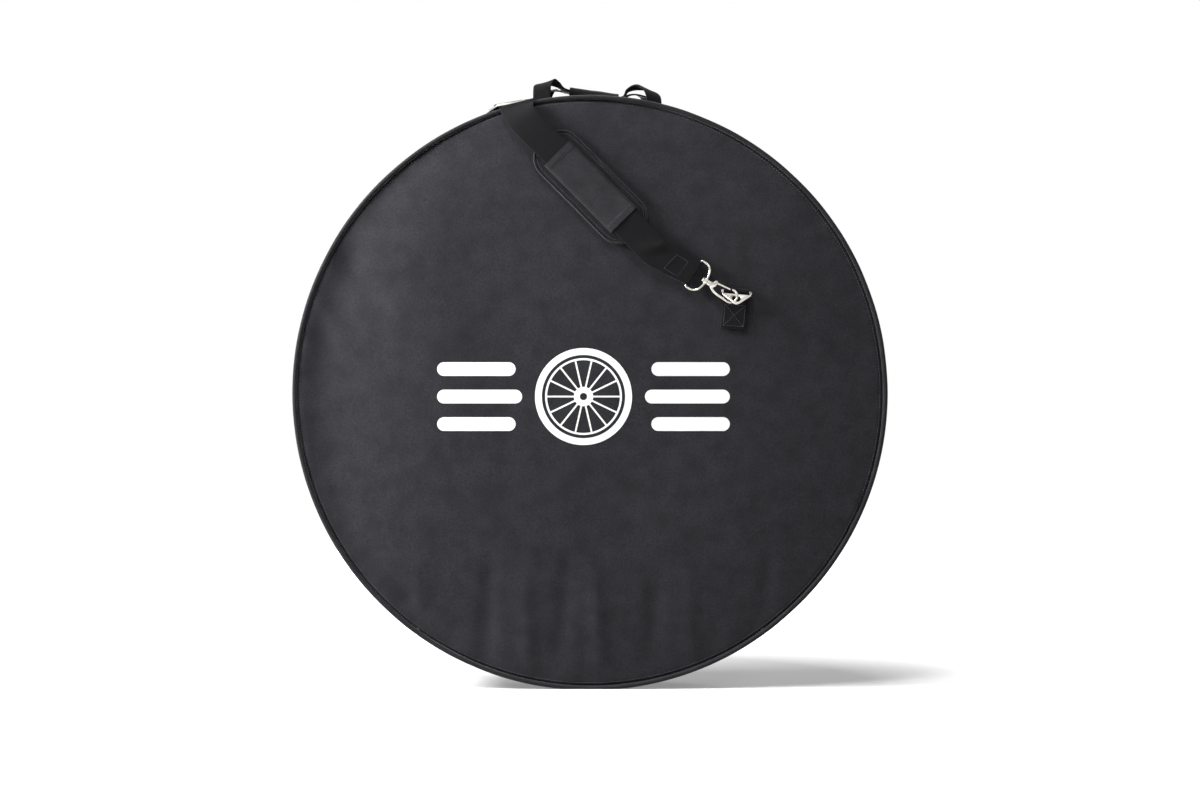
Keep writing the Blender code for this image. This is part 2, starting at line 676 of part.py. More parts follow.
def anchor_tab(name, frame):
    """Make the sewn webbing tab, folded round the ring's bar."""
    back, front = TAB_LAYERS
    across = frame.to_3x3() @ Vector((TAB_HALF_WIDTH, 0, 0))
    path = [((-TAB_LENGTH, back), 90)]
    for angle in range(-90, TAB_TURN + 1, 44):
        turn = math.radians(angle)
        path.append(((TAB_LOOP * math.cos(turn), BAR_HEIGHT + TAB_LOOP * math.sin(turn)), angle + 180))
    path.append(((-TAB_NECK, front + TAB_LIFT), 300))
    path.append(((-TAB_SHOULDER, front), 270))
    path.append(((-TAB_LENGTH, front), 270))
    sections = []
    for (along, height), angle in path:
        turn = math.radians(angle)
        out = frame.to_3x3() @ Vector((0, math.cos(turn), math.sin(turn)))
        sections.append((frame @ Vector((0, along, height)), across, out))
    add_object(name, ribbon(sections), "webbing")


def claw_points():
    """Return the wire of the lobster claw from its barrel to its tip."""
    side = CLAW_OFFSET - CLAW_BEND
    points = [(along * CLAW_REACH, across * side)
              for along, across in ((0.445, 0.07), (0.52, 0.5), (0.63, 0.885), (0.815, 1))]
    for angle in range(-90, 106, 28):
        turn = math.radians(angle)
        points.append((CLAW_REACH + CLAW_BEND * math.cos(turn), CLAW_OFFSET + CLAW_BEND * math.sin(turn)))
    return points


def bow_points():
    """Return the D of the bow: a straight bar, then a curve up to the boss and back."""
    shares = ((0.2, 1.05), (0.5, 1), (0.8, 0.8), (0.95, 0.5), (1, 0.25))
    half = [(BOW_LENGTH * up, BOW_HALF_WIDTH * side) for up, side in shares]
    bar = [(0, -BOW_HALF_WIDTH), (0, BOW_HALF_WIDTH)]
    return bar + half + [(BOW_LENGTH, 0)] + [(x, -y) for x, y in reversed(half)]


def swivel_hook(side_name, bow_place, claw_place, place_of_side):
    """Make the bow, the claw that swivels in it and the sprung gate."""
    bow_place = place_of_side @ bow_place
    claw_place = place_of_side @ claw_place
    bow = add_object(f"{side_name}_hook_bow", tube(bow_points(), WIRE, closed=True), "nickel", bow_place)
    boss_start = BOW_LENGTH - BOSS_LENGTH / 2
    boss_end = BOW_LENGTH + BOSS_LENGTH / 2
    boss = add_object(f"{side_name}_boss_guide", rod(BOSS_RADIUS, boss_start, boss_end), "nickel", bow_place)
    add_boolean(bow, boss, "UNION")
    bore = rod(WIRE + STEM_CLEAR, boss_start - OVERRUN, boss_end + OVERRUN)
    add_boolean(bow, add_object(f"{side_name}_bore_guide", bore, "nickel", bow_place), "DIFFERENCE")

    claw = add_object(f"{side_name}_hook_claw", tube(claw_points(), CLAW_WIRE), "nickel", claw_place)
    barrel_start = boss_end + GAP
    pieces = (("barrel", rod(BARREL_RADIUS, barrel_start, barrel_start + BARREL_LENGTH)),
              ("stem", rod(WIRE, boss_start - GAP - HEAD_LENGTH / 2, barrel_start + HEAD_LENGTH / 2)),
              ("head", rod(HEAD_RADIUS, boss_start - GAP - HEAD_LENGTH, boss_start - GAP)))
    for piece_name, mesh in pieces:
        guide = add_object(f"{side_name}_{piece_name}_guide", mesh, "nickel", claw_place)
        add_boolean(claw, guide, "UNION")
    cheek_half = GATE_WIRE + GAP + FORK_WALL
    cheek = box_mesh((barrel_start + BARREL_LENGTH - FORK_SINK, -CLAW_WIRE, -cheek_half),
                     (GATE_START + FORK_SIZE / 2, GATE_SIDE + FORK_SIZE / 2, cheek_half))
    add_boolean(claw, add_object(f"{side_name}_cheek_guide", cheek, "nickel", claw_place), "UNION")
    slot = box_mesh((barrel_start + BARREL_LENGTH + FORK_SINK, -GAP, -GATE_WIRE - GAP),
                    (GATE_START + FORK_SIZE, GATE_SIDE + FORK_SIZE, GATE_WIRE + GAP))
    add_boolean(claw, add_object(f"{side_name}_slot_guide", slot, "nickel", claw_place), "DIFFERENCE")
    pin_turn = claw_place @ Matrix.Translation((GATE_START, GATE_SIDE, 0)) @ spun(90, "Y")
    pin_bore = rod(GATE_PIN + GAP / 3, -cheek_half - OVERRUN, cheek_half + OVERRUN)
    add_boolean(claw, add_object(f"{side_name}_pin_bore_guide", pin_bore, "nickel", pin_turn), "DIFFERENCE")
    pin = rod(GATE_PIN, -cheek_half, cheek_half)
    add_object(f"{side_name}_gate_pin", pin, "nickel", pin_turn)

    tip_x, tip_y = claw_points()[-1]
    end = Vector((tip_x, tip_y - GAP)) - Vector((GATE_START, GATE_SIDE))
    reach = end.length - CLAW_WIRE - GAP
    gate_place = (claw_place @ Matrix.Translation((GATE_START, GATE_SIDE, 0))
                  @ Matrix.Rotation(math.atan2(end.y, end.x), 4, "Z"))
    gate_rod = rod(GATE_WIRE, -2 * GATE_WIRE, reach, 8)
    gate = add_object(f"{side_name}_hook_gate", gate_rod, "nickel", gate_place)
    gate_bore = rod(GATE_PIN + GAP / 3, -OVERRUN, OVERRUN)
    turned = gate_place @ spun(90, "Y")
    add_boolean(gate, add_object(f"{side_name}_gate_bore_guide", gate_bore, "nickel", turned), "DIFFERENCE")


def hook_places(tab_angle):
    """Work out the ring's, the bow's and the claw's frames on the front panel."""
    anchor = face_frame(RING_X, RING_Z, tab_angle)
    ring = anchor @ Matrix.Translation((0, 0, BAR_HEIGHT)) @ spun(-RING_TILT, "X")
    hole = ring @ Vector((0, -RING_HOLE, 0))
    flat = face_frame(RING_X, RING_Z, tab_angle + HOOK_ANGLE).to_3x3().to_4x4() @ spun(-HOOK_PITCH, "Y")
    turn = math.radians(HOOK_CROSSING)
    crossing = Vector((CLAW_REACH + CLAW_BEND * math.cos(turn), CLAW_OFFSET + CLAW_BEND * math.sin(turn), 0))
    rolled = flat @ spun(HOOK_ROLL, "X")
    origin = hole - rolled @ crossing
    return anchor, ring, Matrix.Translation(origin) @ flat, Matrix.Translation(origin) @ rolled


FRONT_PLACES = hook_places(FRONT_TAB_ANGLE)
REAR_PLACES = hook_places(REAR_TAB_ANGLE)
for side_name, side_place, places in (("front", Matrix.Identity(4), FRONT_PLACES),
                                      ("rear", HALF_TURN, REAR_PLACES)):
    anchor, ring_place, bow_place, claw_place = places
    anchor_ring(f"{side_name}_ring", side_place @ ring_place)
    anchor_tab(f"{side_name}_anchor_tab", side_place @ anchor)
    swivel_hook(side_name, bow_place, claw_place, side_place)


# Shoulder strap

def aligned(vector, reference):
    """Return a vector, turned round if it points against a reference."""
    return vector if vector.dot(reference) > 0 else -vector


def rim_bend(angle, bend, half):
    """Return a strap section on the front piping, from its face (0) to its top (90)."""
    turn = math.radians(bend)
    reach = PIPING_RADIUS + STRAP_LIFT + WEBBING / 2
    middle = rim_point(PIPING_RING + reach * math.sin(turn), angle, -PIPING_DEPTH - reach * math.cos(turn))
    along = radial(angle + 90) * STRAP_HALF_WIDTH / math.cos(math.radians(STRAP_SLANT))
    out = radial(angle) * math.sin(turn) - Vector((0, math.cos(turn), 0))
    return middle, aligned(along, half), out


SPAN_DEPTH = 2 * PIPING_DEPTH
SPAN_ANGLE = math.degrees(SPAN_DEPTH * math.tan(math.radians(STRAP_SLANT)) / RIM_RADIUS)
STRAP_REAR_ANGLE = STRAP_FRONT_ANGLE + SPAN_ANGLE
PAD_FRAME = face_frame(PAD_X, PAD_Z, PAD_ANGLE)
PAD_ZONE = PAD_LENGTH / 2 + PAD_TRAVEL
STRAP_ON_PAD = 2 * GAP + PAD_THICKNESS + WEBBING / 2

front_bow = FRONT_PLACES[2]
bar_middle = front_bow.translation
bar_half = front_bow.to_3x3() @ Vector((0, STRAP_LOOP_HALF_WIDTH, 0))
zone_end = PAD_FRAME @ Vector((-PAD_ZONE, 0, STRAP_ON_PAD))
strap_axis = (zone_end - bar_middle).normalized()
strap_out = PAD_FRAME.to_3x3() @ Vector((0, 0, 1))
strap_out = (strap_out - strap_axis * strap_out.dot(strap_axis)).normalized()
strap_reach = (zone_end - bar_middle).length
DOUBLE = WEBBING + GAP


def on_upper(distance):
    """Return the height of the front strap's outer layer at a distance from the bow."""
    return LOOP_BEND * (1 - distance / strap_reach)


def beside_bar(distance, height):
    """Return a point beside the front bow's bar, along the strap and outwards."""
    return bar_middle + strap_axis * distance + strap_out * height


def loop_round(middle, axis, out, half, angles, outside):
    """Return sections that bend the webbing round a bow's bar, their fronts outside or inside."""
    bend = []
    for angle in angles:
        turn = math.radians(angle)
        spoke = axis * math.cos(turn) + out * math.sin(turn)
        bend.append((middle + spoke * LOOP_BEND, half, spoke if outside else -spoke))
    return bend


front_strap = [(beside_bar(STRAP_SEWN_LENGTH, on_upper(STRAP_SEWN_LENGTH) - DOUBLE),
                bar_half * STRAP_HALF_WIDTH / STRAP_LOOP_HALF_WIDTH, -strap_out),
               (beside_bar(STRAP_NECK, on_upper(STRAP_NECK) - DOUBLE), bar_half, -strap_out)]
front_strap += loop_round(bar_middle, strap_axis, strap_out, bar_half, (255, 225, 180, 135, 95), True)
front_strap.append((beside_bar(STRAP_NECK, on_upper(STRAP_NECK)), bar_half, strap_out))
wide_half = aligned(PAD_FRAME.to_3x3() @ Vector((0, STRAP_HALF_WIDTH, 0)), bar_half)
front_strap.append((beside_bar(STRAP_SEWN_LENGTH, on_upper(STRAP_SEWN_LENGTH)), wide_half, strap_out))
front_strap.append((zone_end, wide_half, strap_out))
front_strap.append((PAD_FRAME @ Vector((PAD_ZONE, 0, STRAP_ON_PAD)), wide_half, strap_out))
for bend in (0, 45, 90):
    front_strap.append(rim_bend(STRAP_FRONT_ANGLE, bend, wide_half))

span_start = front_strap[-1][0]
rear_bends = [rim_bend(180 - STRAP_REAR_ANGLE, bend, Vector((1, 0, 0))) for bend in (90, 45, 0)]
span_end = HALF_TURN @ rear_bends[0][0]
span_axis = (span_end - span_start).normalized()
span_length = (span_end - span_start).length
span_finish = span_length - REAR_STRAP_START


def on_span(distance, height):
    """Return a strap section on the straight stretch over the rim, which twists on its way."""
    share = min(max((distance - SPAN_START) / (span_finish - SPAN_START), 0), 1)
    out = radial(STRAP_FRONT_ANGLE + SPAN_ANGLE * share)
    out = (out - span_axis * out.dot(span_axis)).normalized()
    half = aligned(out.cross(span_axis) * STRAP_HALF_WIDTH, wide_half)
    return span_start + span_axis * distance + out * height, half, out


GLIDE_LIFT = WEBBING / 2 + GAP + STRAP_LIFT
WEAVE_HEIGHT = GLIDE_LIFT + GLIDE_THICKNESS + GAP + WEBBING / 2
WEAVE_FLAT = 2.6 * MM
WEAVE_RAMP = 8.8 * MM
for distance, height in ((-WEAVE_RAMP, 0), (-WEAVE_FLAT, WEAVE_HEIGHT), (WEAVE_FLAT, WEAVE_HEIGHT),
                         (WEAVE_RAMP, 0)):
    front_strap.append(on_span(GLIDE_CENTRE + distance, height))
front_strap.append(on_span(SPAN_START, 0))
add_object("strap_webbing_front", ribbon(front_strap), "webbing")

over_rim = [on_span(SPAN_START + GAP, DOUBLE / 2), on_span(span_finish, DOUBLE / 2)]
add_object("strap_over_rim", ribbon(over_rim, WEBBING + DOUBLE), "webbing")

rear_bow = REAR_PLACES[2]
rear_bar = rear_bow.translation
rear_half = aligned(rear_bow.to_3x3() @ Vector((0, STRAP_LOOP_HALF_WIDTH, 0)), Vector((1, 0, 0)))
rear_out = rear_bow.to_3x3() @ Vector((0, 0, 1))
rear_axis = -(rear_bow.to_3x3() @ Vector((1, 0, 0)))
first_middle, first_half, first_out = on_span(span_finish + GAP, 0)
lower = [(HALF_TURN @ first_middle, aligned(HALF_TURN.to_3x3() @ first_half, Vector((1, 0, 0))),
          HALF_TURN.to_3x3() @ first_out)] + rear_bends
rim_end = rear_bends[-1][0]
drop = math.hypot(rear_bar.x - rim_end.x, rear_bar.z - rim_end.z)
for share, half_width in ((0.35, STRAP_HALF_WIDTH), (0.65, STRAP_HALF_WIDTH),
                          (1 - REAR_NECK / drop, 0.9 * STRAP_HALF_WIDTH)):
    x = rim_end.x + (rear_bar.x - rim_end.x) * share
    z = rim_end.z + (rear_bar.z - rim_end.z) * share
    face = face_frame(x, z, 0, STRAP_LIFT + WEBBING / 2 + GAP)
    lower.append((face.translation, Vector((half_width, 0, 0)), face.to_3x3() @ Vector((0, 0, 1))))
upper = [(middle + out.normalized() * DOUBLE, half, -out) for middle, half, out in reversed(lower)]
round_bar = loop_round(rear_bar, rear_axis, rear_out, rear_half, (270, 225, 180, 135, 90), False)
rear_mesh = ribbon(lower + round_bar + upper)
bmesh.ops.transform(rear_mesh, matrix=HALF_TURN, verts=rear_mesh.verts)
add_object("strap_webbing_rear", rear_mesh, "webbing")


# Tri-glide on the stretch over the rim

glide_middle, glide_half, glide_out = on_span(GLIDE_CENTRE, GLIDE_LIFT + GLIDE_THICKNESS / 2)
glide_axes = Matrix((span_axis, glide_out.cross(span_axis), glide_out)).transposed().to_4x4()
GLIDE_PLACE = Matrix.Translation(glide_middle) @ glide_axes
half_length = GLIDE_PITCH + GLIDE_RAIL / 2
glide = add_object("tri_glide", box_mesh((-half_length, -GLIDE_HALF_WIDTH, -GLIDE_THICKNESS / 2),
                                         (half_length, GLIDE_HALF_WIDTH, GLIDE_THICKNESS / 2)),
                   "nickel", GLIDE_PLACE)
slot_half = GLIDE_HALF_WIDTH - GLIDE_RAIL
for side in (-1, 1):
    low = GLIDE_RAIL / 2
    high = GLIDE_PITCH - GLIDE_RAIL / 2
    corners = sorted((side * low, side * high))
    slot = box_mesh((corners[0], -slot_half, -OVERRUN), (corners[1], slot_half, OVERRUN))
    add_boolean(glide, add_object(f"tri_glide_slot_guide_{side}", slot, "nickel", GLIDE_PLACE), "DIFFERENCE")


# Strap pad and sleeve

def pad_outline(inset=0):
    """Return the pad's outline, with corners that are nearly half circles."""
    corner = PAD_CORNER - inset
    half_length = PAD_LENGTH / 2 - inset
    half_width = PAD_HALF_WIDTH - inset
    points = []
    for number, (x, y) in enumerate(((1, 1), (-1, 1), (-1, -1), (1, -1))):
        for step in range(5):
            turn = math.radians(90 * number + 22.5 * step)
            points.append((x * (half_length - corner) + corner * math.cos(turn),
                           y * (half_width - corner) + corner * math.sin(turn)))
    return points


pad_rings = []
for inset, height in ((0, GAP), (0, GAP + PAD_EDGE_THICKNESS), (PAD_CROWN_INSET, GAP + PAD_THICKNESS)):
    pad_rings.append([Vector((x, y, height)) for x, y in pad_outline(inset)])
add_object("strap_pad", sweep(pad_rings), "pad", PAD_FRAME)

sleeve_base = 2 * GAP + PAD_THICKNESS
sleeve_inside = sleeve_base + WEBBING + GAP
sleeve_top = sleeve_inside + SLEEVE_WALL
inner_half = SLEEVE_HALF_WIDTH - SLEEVE_WALL
SLEEVE_OUTLINE = ((-SLEEVE_HALF_WIDTH, sleeve_base), (-SLEEVE_HALF_WIDTH, sleeve_top),
                  (SLEEVE_HALF_WIDTH, sleeve_top), (SLEEVE_HALF_WIDTH, sleeve_base),
                  (inner_half, sleeve_base), (inner_half, sleeve_inside),
                  (-inner_half, sleeve_inside), (-inner_half, sleeve_base))
sleeve_rings = [[Vector((x, y, height)) for y, height in SLEEVE_OUTLINE]
                for x in (-SLEEVE_LENGTH / 2, SLEEVE_LENGTH / 2)]
add_object("strap_pad_sleeve", sweep(sleeve_rings), "pad", PAD_FRAME)
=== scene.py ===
"""Padded round bag for one bicycle wheel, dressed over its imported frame.

The bag stands on its rim with its front towards -Y. Lengths are in metres, unless a line says millimetres.
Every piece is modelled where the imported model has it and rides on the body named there.
"""
import math

import bpy
from mathutils import Matrix, Vector, noise


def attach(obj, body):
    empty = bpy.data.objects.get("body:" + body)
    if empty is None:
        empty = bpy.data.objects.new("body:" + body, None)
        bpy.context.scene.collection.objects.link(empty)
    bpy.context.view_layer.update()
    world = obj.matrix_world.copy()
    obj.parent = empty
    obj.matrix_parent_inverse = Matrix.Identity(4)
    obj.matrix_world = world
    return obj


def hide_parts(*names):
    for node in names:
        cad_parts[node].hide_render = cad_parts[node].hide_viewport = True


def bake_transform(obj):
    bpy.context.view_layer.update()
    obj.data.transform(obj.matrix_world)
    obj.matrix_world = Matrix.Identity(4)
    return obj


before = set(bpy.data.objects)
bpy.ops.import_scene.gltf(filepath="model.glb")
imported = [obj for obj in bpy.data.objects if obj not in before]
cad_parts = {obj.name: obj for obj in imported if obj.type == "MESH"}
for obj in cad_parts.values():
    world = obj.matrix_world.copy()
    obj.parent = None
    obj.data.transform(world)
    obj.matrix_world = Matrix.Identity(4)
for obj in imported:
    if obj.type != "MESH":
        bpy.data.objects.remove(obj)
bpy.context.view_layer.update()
scene = bpy.context.scene
scene.view_settings.view_transform = "Standard"
MM = 0.001


# Studio
# The photograph is a catalogue picture: a white sweep, soft light from the upper left
# and a camera about three metres away, level with the middle of the bag.

def linear(hex_colour):
    """Turn an sRGB hex colour into Blender's linear colour."""
    channels = [int(hex_colour[place:place + 2], 16) / 255 for place in (0, 2, 4)]
    return tuple(((c + 0.055) / 1.055) ** 2.4 if c > 0.04045 else c / 12.92 for c in channels) + (1,)


def add_node(tree, kind, sockets=None, **settings):
    """Add a shader node, set its properties, and set or link its sockets."""
    node = tree.nodes.new(kind)
    for name, value in settings.items():
        setattr(node, name, value)
    for name, value in (sockets or {}).items():
        if isinstance(value, bpy.types.NodeSocket):
            tree.links.new(value, node.inputs[name])
        else:
            node.inputs[name].default_value = value
    return node


camera_data = bpy.data.cameras.new("camera")
camera_data.lens = 72.8
camera = bpy.data.objects.new("camera", camera_data)
camera.location = (0.0124, -3.062, 0.3606)
camera.rotation_euler = (math.radians(90), 0, 0)
scene.collection.objects.link(camera)
scene.camera = camera


def area_light(name, place, aim, size, watts):
    """Hang a square soft box that faces a point."""
    data = bpy.data.lights.new(name, "AREA")
    data.energy = watts
    data.size = size
    lamp = bpy.data.objects.new(name, data)
    lamp.location = place
    lamp.rotation_euler = (Vector(aim) - Vector(place)).to_track_quat("-Z", "Y").to_euler()
    scene.collection.objects.link(lamp)


area_light("soft_box_left", (-1.45, -0.42, 1.15), (-0.2, 0, 0.4), 0.6, 82)
area_light("soft_box_front", (-0.45, -1.3, 2.9), (0, 0, 0.3), 0.7, 58)
area_light("soft_box_right", (1.6, -2.2, 2.2), (0, 0, 0.4), 0.9, 9)
area_light("soft_box_back", (-0.8, 2.6, 0.6), (0, 0, 0.4), 1.6, 62)

# The sweep is white to the camera and in reflections, and lights the bag only faintly.
world = bpy.data.worlds.new("white_sweep")
world.use_nodes = True
scene.world = world
world.node_tree.nodes.clear()
rays = add_node(world.node_tree, "ShaderNodeLightPath")
seen = add_node(world.node_tree, "ShaderNodeMath", {0: rays.outputs["Is Camera Ray"],
                                                    1: rays.outputs["Is Glossy Ray"]}, operation="MAXIMUM")
around = add_node(world.node_tree, "ShaderNodeBackground", {"Color": (1, 1, 1, 1), "Strength": 0.09})
backdrop = add_node(world.node_tree, "ShaderNodeBackground", {"Color": (1, 1, 1, 1), "Strength": 1})
sky = add_node(world.node_tree, "ShaderNodeMixShader", {0: seen.outputs[0], 1: around.outputs[0],
                                                        2: backdrop.outputs[0]})
add_node(world.node_tree, "ShaderNodeOutputWorld", {"Surface": sky.outputs[0]})

# The paper glows to the camera alone: fully from 0.6 m out, and less by the bag, where its shadow
# has to show.
SHADOW_REACH, WHITE_REACH = 0.36, 0.6
SHADOW_GLOW = 0.26
bpy.ops.object.select_all(action="DESELECT")
bpy.ops.mesh.primitive_plane_add(size=14, location=(0, 0, -0.0004))
floor = bpy.context.object
floor.name = "white_floor"
bpy.ops.object.transform_apply(location=True)
paper = bpy.data.materials.new("white_paper")
paper.use_nodes = True
paper.node_tree.nodes.clear()
rays = add_node(paper.node_tree, "ShaderNodeLightPath")
spot = add_node(paper.node_tree, "ShaderNodeTexCoord")
away = add_node(paper.node_tree, "ShaderNodeVectorMath", {0: spot.outputs["Object"]}, operation="LENGTH")
white = add_node(paper.node_tree, "ShaderNodeMapRange", {
    "Value": away.outputs["Value"], "From Min": SHADOW_REACH, "From Max": WHITE_REACH, "To Min": SHADOW_GLOW,
    "To Max": 1})
strength = add_node(paper.node_tree, "ShaderNodeMath", {
    0: white.outputs[0], 1: rays.outputs["Is Camera Ray"]}, operation="MULTIPLY")
glow = add_node(paper.node_tree, "ShaderNodeEmission", {"Strength": strength.outputs[0]})
matt = add_node(paper.node_tree, "ShaderNodeBsdfDiffuse", {"Color": (0.62, 0.62, 0.62, 1)})
sheet_light = add_node(paper.node_tree, "ShaderNodeAddShader", {0: matt.outputs[0], 1: glow.outputs[0]})
add_node(paper.node_tree, "ShaderNodeOutputMaterial", {"Surface": sheet_light.outputs[0]})
floor.data.materials.append(paper)


# Panels
# Each panel is a disc of woven polyester, foam and lining, stitched together at the rim.
# It is sewn flat and pulled over the foam, so it domes, falls off at the seam and puckers.

RIM_RADIUS = 370 * MM
CENTRE_Z = math.sqrt(RIM_RADIUS ** 2 - (40 * MM) ** 2)
PANEL_EDGE = 363.7 * MM
HALF_DEPTH = 50 * MM
DOME_RISE = 12 * MM
PANEL_SEAM_FALL = 3.4 * MM


def fold(x, z, start, end, rise, width):
    """Return the height of a soft fold that runs between two points and fades at its ends."""
    start, end = Vector(start) * MM, Vector(end) * MM
    run = end - start
    share = (Vector((x, z)) - start).dot(run) / run.length_squared
    off = (Vector((x, z)) - start - run * share).length / (width * MM)
    ends = max(0, 1 - (2 * share - 1) ** 2) if 0 < share < 1 else 0
    return rise * MM * ends * math.exp(-off * off)


def front_folds(x, z):
    """Return how far the wrinkles lift the front panel: slack at the left and puckers at the foot."""
    lift = fold(x, z, (-372, 520), (-275, 395), 2.6, 10) + fold(x, z, (-360, 455), (-280, 370), -2.6, 9)
    lift += fold(x, z, (-345, 560), (-240, 465), -3, 16) + fold(x, z, (-330, 600), (-205, 510), 2.4, 14)
    lift += fold(x, z, (-300, 205), (-185, 110), 2.6, 11) + fold(x, z, (-255, 140), (-165, 45), -2.8, 10)
    # The puckers rise from the foot: where each starts, its lean, its rise and its height.
    for foot_x, tilt, rise, height in ((-210, -4, 2.4, 165), (-131, 8, -3, 180), (-76, -6, 2.9, 150),
                                       (-38, 10, -2.8, 175), (14, -9, 2.8, 160), (72, 12, -2.4, 150),
                                       (128, -8, 2.1, 150), (205, 20, -2, 190)):
        lift += fold(x, z, (foot_x, 6), (foot_x + tilt, height), rise, 10)
    # Broad folds pass over the whole panel.
    lift += fold(x, z, (-318, 100), (-322, 640), -6, 62) + fold(x, z, (-215, 680), (-150, 180), 3.4, 55)
    lift += fold(x, z, (60, 350), (20, 90), -2.4, 60) + fold(x, z, (250, 620), (190, 200), 2, 70)
    inwards = PANEL_EDGE - math.hypot(x, z - CENTRE_Z)
    return lift * (1 - math.exp(-(inwards / (16 * MM)) ** 2))


def rear_folds(x, z):
    """Return the rear panel's wrinkles: slack by the rim at both sides."""
    lift = fold(x, z, (350, 480), (260, 370), 1.5, 10) + fold(x, z, (-340, 250), (-250, 330), -1.5, 11)
    for foot_x, tilt, rise in ((-150, 12, 1.3), (-60, -8, -1.4), (30, 9, 1.4), (140, -12, -1.3)):
        lift += fold(x, z, (foot_x, 6), (foot_x + tilt, 140), rise, 9)
    return lift


def panel_depth(x, z, folds=front_folds):
    """Return the depth of a panel's outer face from the middle of the bag."""
    radius = math.hypot(x, z - CENTRE_Z)
    depth = HALF_DEPTH + DOME_RISE * (1 - (radius / PANEL_EDGE) ** 2)
    inwards = PANEL_EDGE - radius
    near_seam = max(0, 1 - inwards / (7 * MM))
    depth -= PANEL_SEAM_FALL * (1 - math.sqrt(max(0, 1 - near_seam ** 2)))
    turn = math.atan2(z - CENTRE_Z, x)
    pucker = noise.noise(Vector((math.cos(turn) * 9, math.sin(turn) * 9, 3)))
    pucker += 0.6 * noise.noise(Vector((math.cos(turn) * 26, math.sin(turn) * 26, 7)))
    hem = math.exp(-(inwards / (26 * MM)) ** 2) * min(1, inwards / (5 * MM))
    droop = 2.2 * MM * math.exp(-(inwards / (48 * MM)) ** 2)
    slack = noise.noise(Vector((x * 6, z * 6, 1))) * 3 * MM * (1 - math.exp(-(radius / 0.1) ** 2))
    strap_end = min(1, max(0, (z - x - 0.2) / 0.12))
    quiet = 1 - strap_end * math.exp(-(x + z - 0.625) ** 2 / 2 / 0.05 ** 2)
    return depth + (pucker * hem * 1.8 * MM + slack - droop - 0.6 * MM + folds(x, z)) * quiet


def only(*pieces):
    """Select these objects and nothing else."""
    bpy.ops.object.select_all(action="DESELECT")
    for piece in pieces:
        piece.select_set(True)
    bpy.context.view_layer.objects.active = pieces[0]


def apply_all(piece):
    """Apply a piece's place and all its modifiers."""
    only(piece)
    bpy.ops.object.transform_apply(location=True, rotation=True, scale=True)
    for modifier in list(piece.modifiers):
        bpy.ops.object.modifier_apply(modifier=modifier.name)


def thicken(sheet, thickness, offset=-1):
    """Give a sheet its thickness, towards its inner side or to both."""
    wall = sheet.modifiers.new("thickness", "SOLIDIFY")
    wall.thickness = thickness
    wall.offset = offset
    apply_all(sheet)


def sewn_disc(name, side, skip, thickness, sides, ring_gap):
    """Model one layer of a panel as a disc of rings, then dome, wrinkle and thicken it."""
    bpy.ops.object.select_all(action="DESELECT")
    bpy.ops.mesh.primitive_circle_add(vertices=sides, radius=PANEL_EDGE, location=(0, 0, CENTRE_Z),
                                      rotation=(-side * math.pi / 2, 0, 0))
    disc = bpy.context.object
    disc.name = name
    bpy.ops.object.transform_apply(location=True, rotation=True)
    bpy.ops.object.mode_set(mode="EDIT")
    bpy.ops.mesh.select_all(action="SELECT")
    radius = PANEL_EDGE
    while radius > 2 * ring_gap:
        step = min(ring_gap, max(1 * MM, (PANEL_EDGE - radius) * 0.5))
        bpy.ops.mesh.extrude_edges_move()
        bpy.ops.transform.resize(value=[(radius - step) / radius] * 3, center_override=(0, 0, CENTRE_Z))
        radius -= step
    bpy.ops.mesh.edge_face_add()
    bpy.ops.mesh.poke()
    bpy.ops.mesh.select_all(action="SELECT")
    bpy.ops.mesh.normals_make_consistent(inside=False)
    bpy.ops.object.mode_set(mode="OBJECT")
    if disc.data.polygons[0].normal.y * side < 0:
        disc.data.flip_normals()
    folds = front_folds if side < 0 else rear_folds
    for vertex in disc.data.vertices:
        vertex.co.y = side * (panel_depth(vertex.co.x, vertex.co.z, folds) - skip)
    thicken(disc, thickness)
    bpy.ops.object.shade_smooth_by_angle(angle=math.radians(40))
    return disc


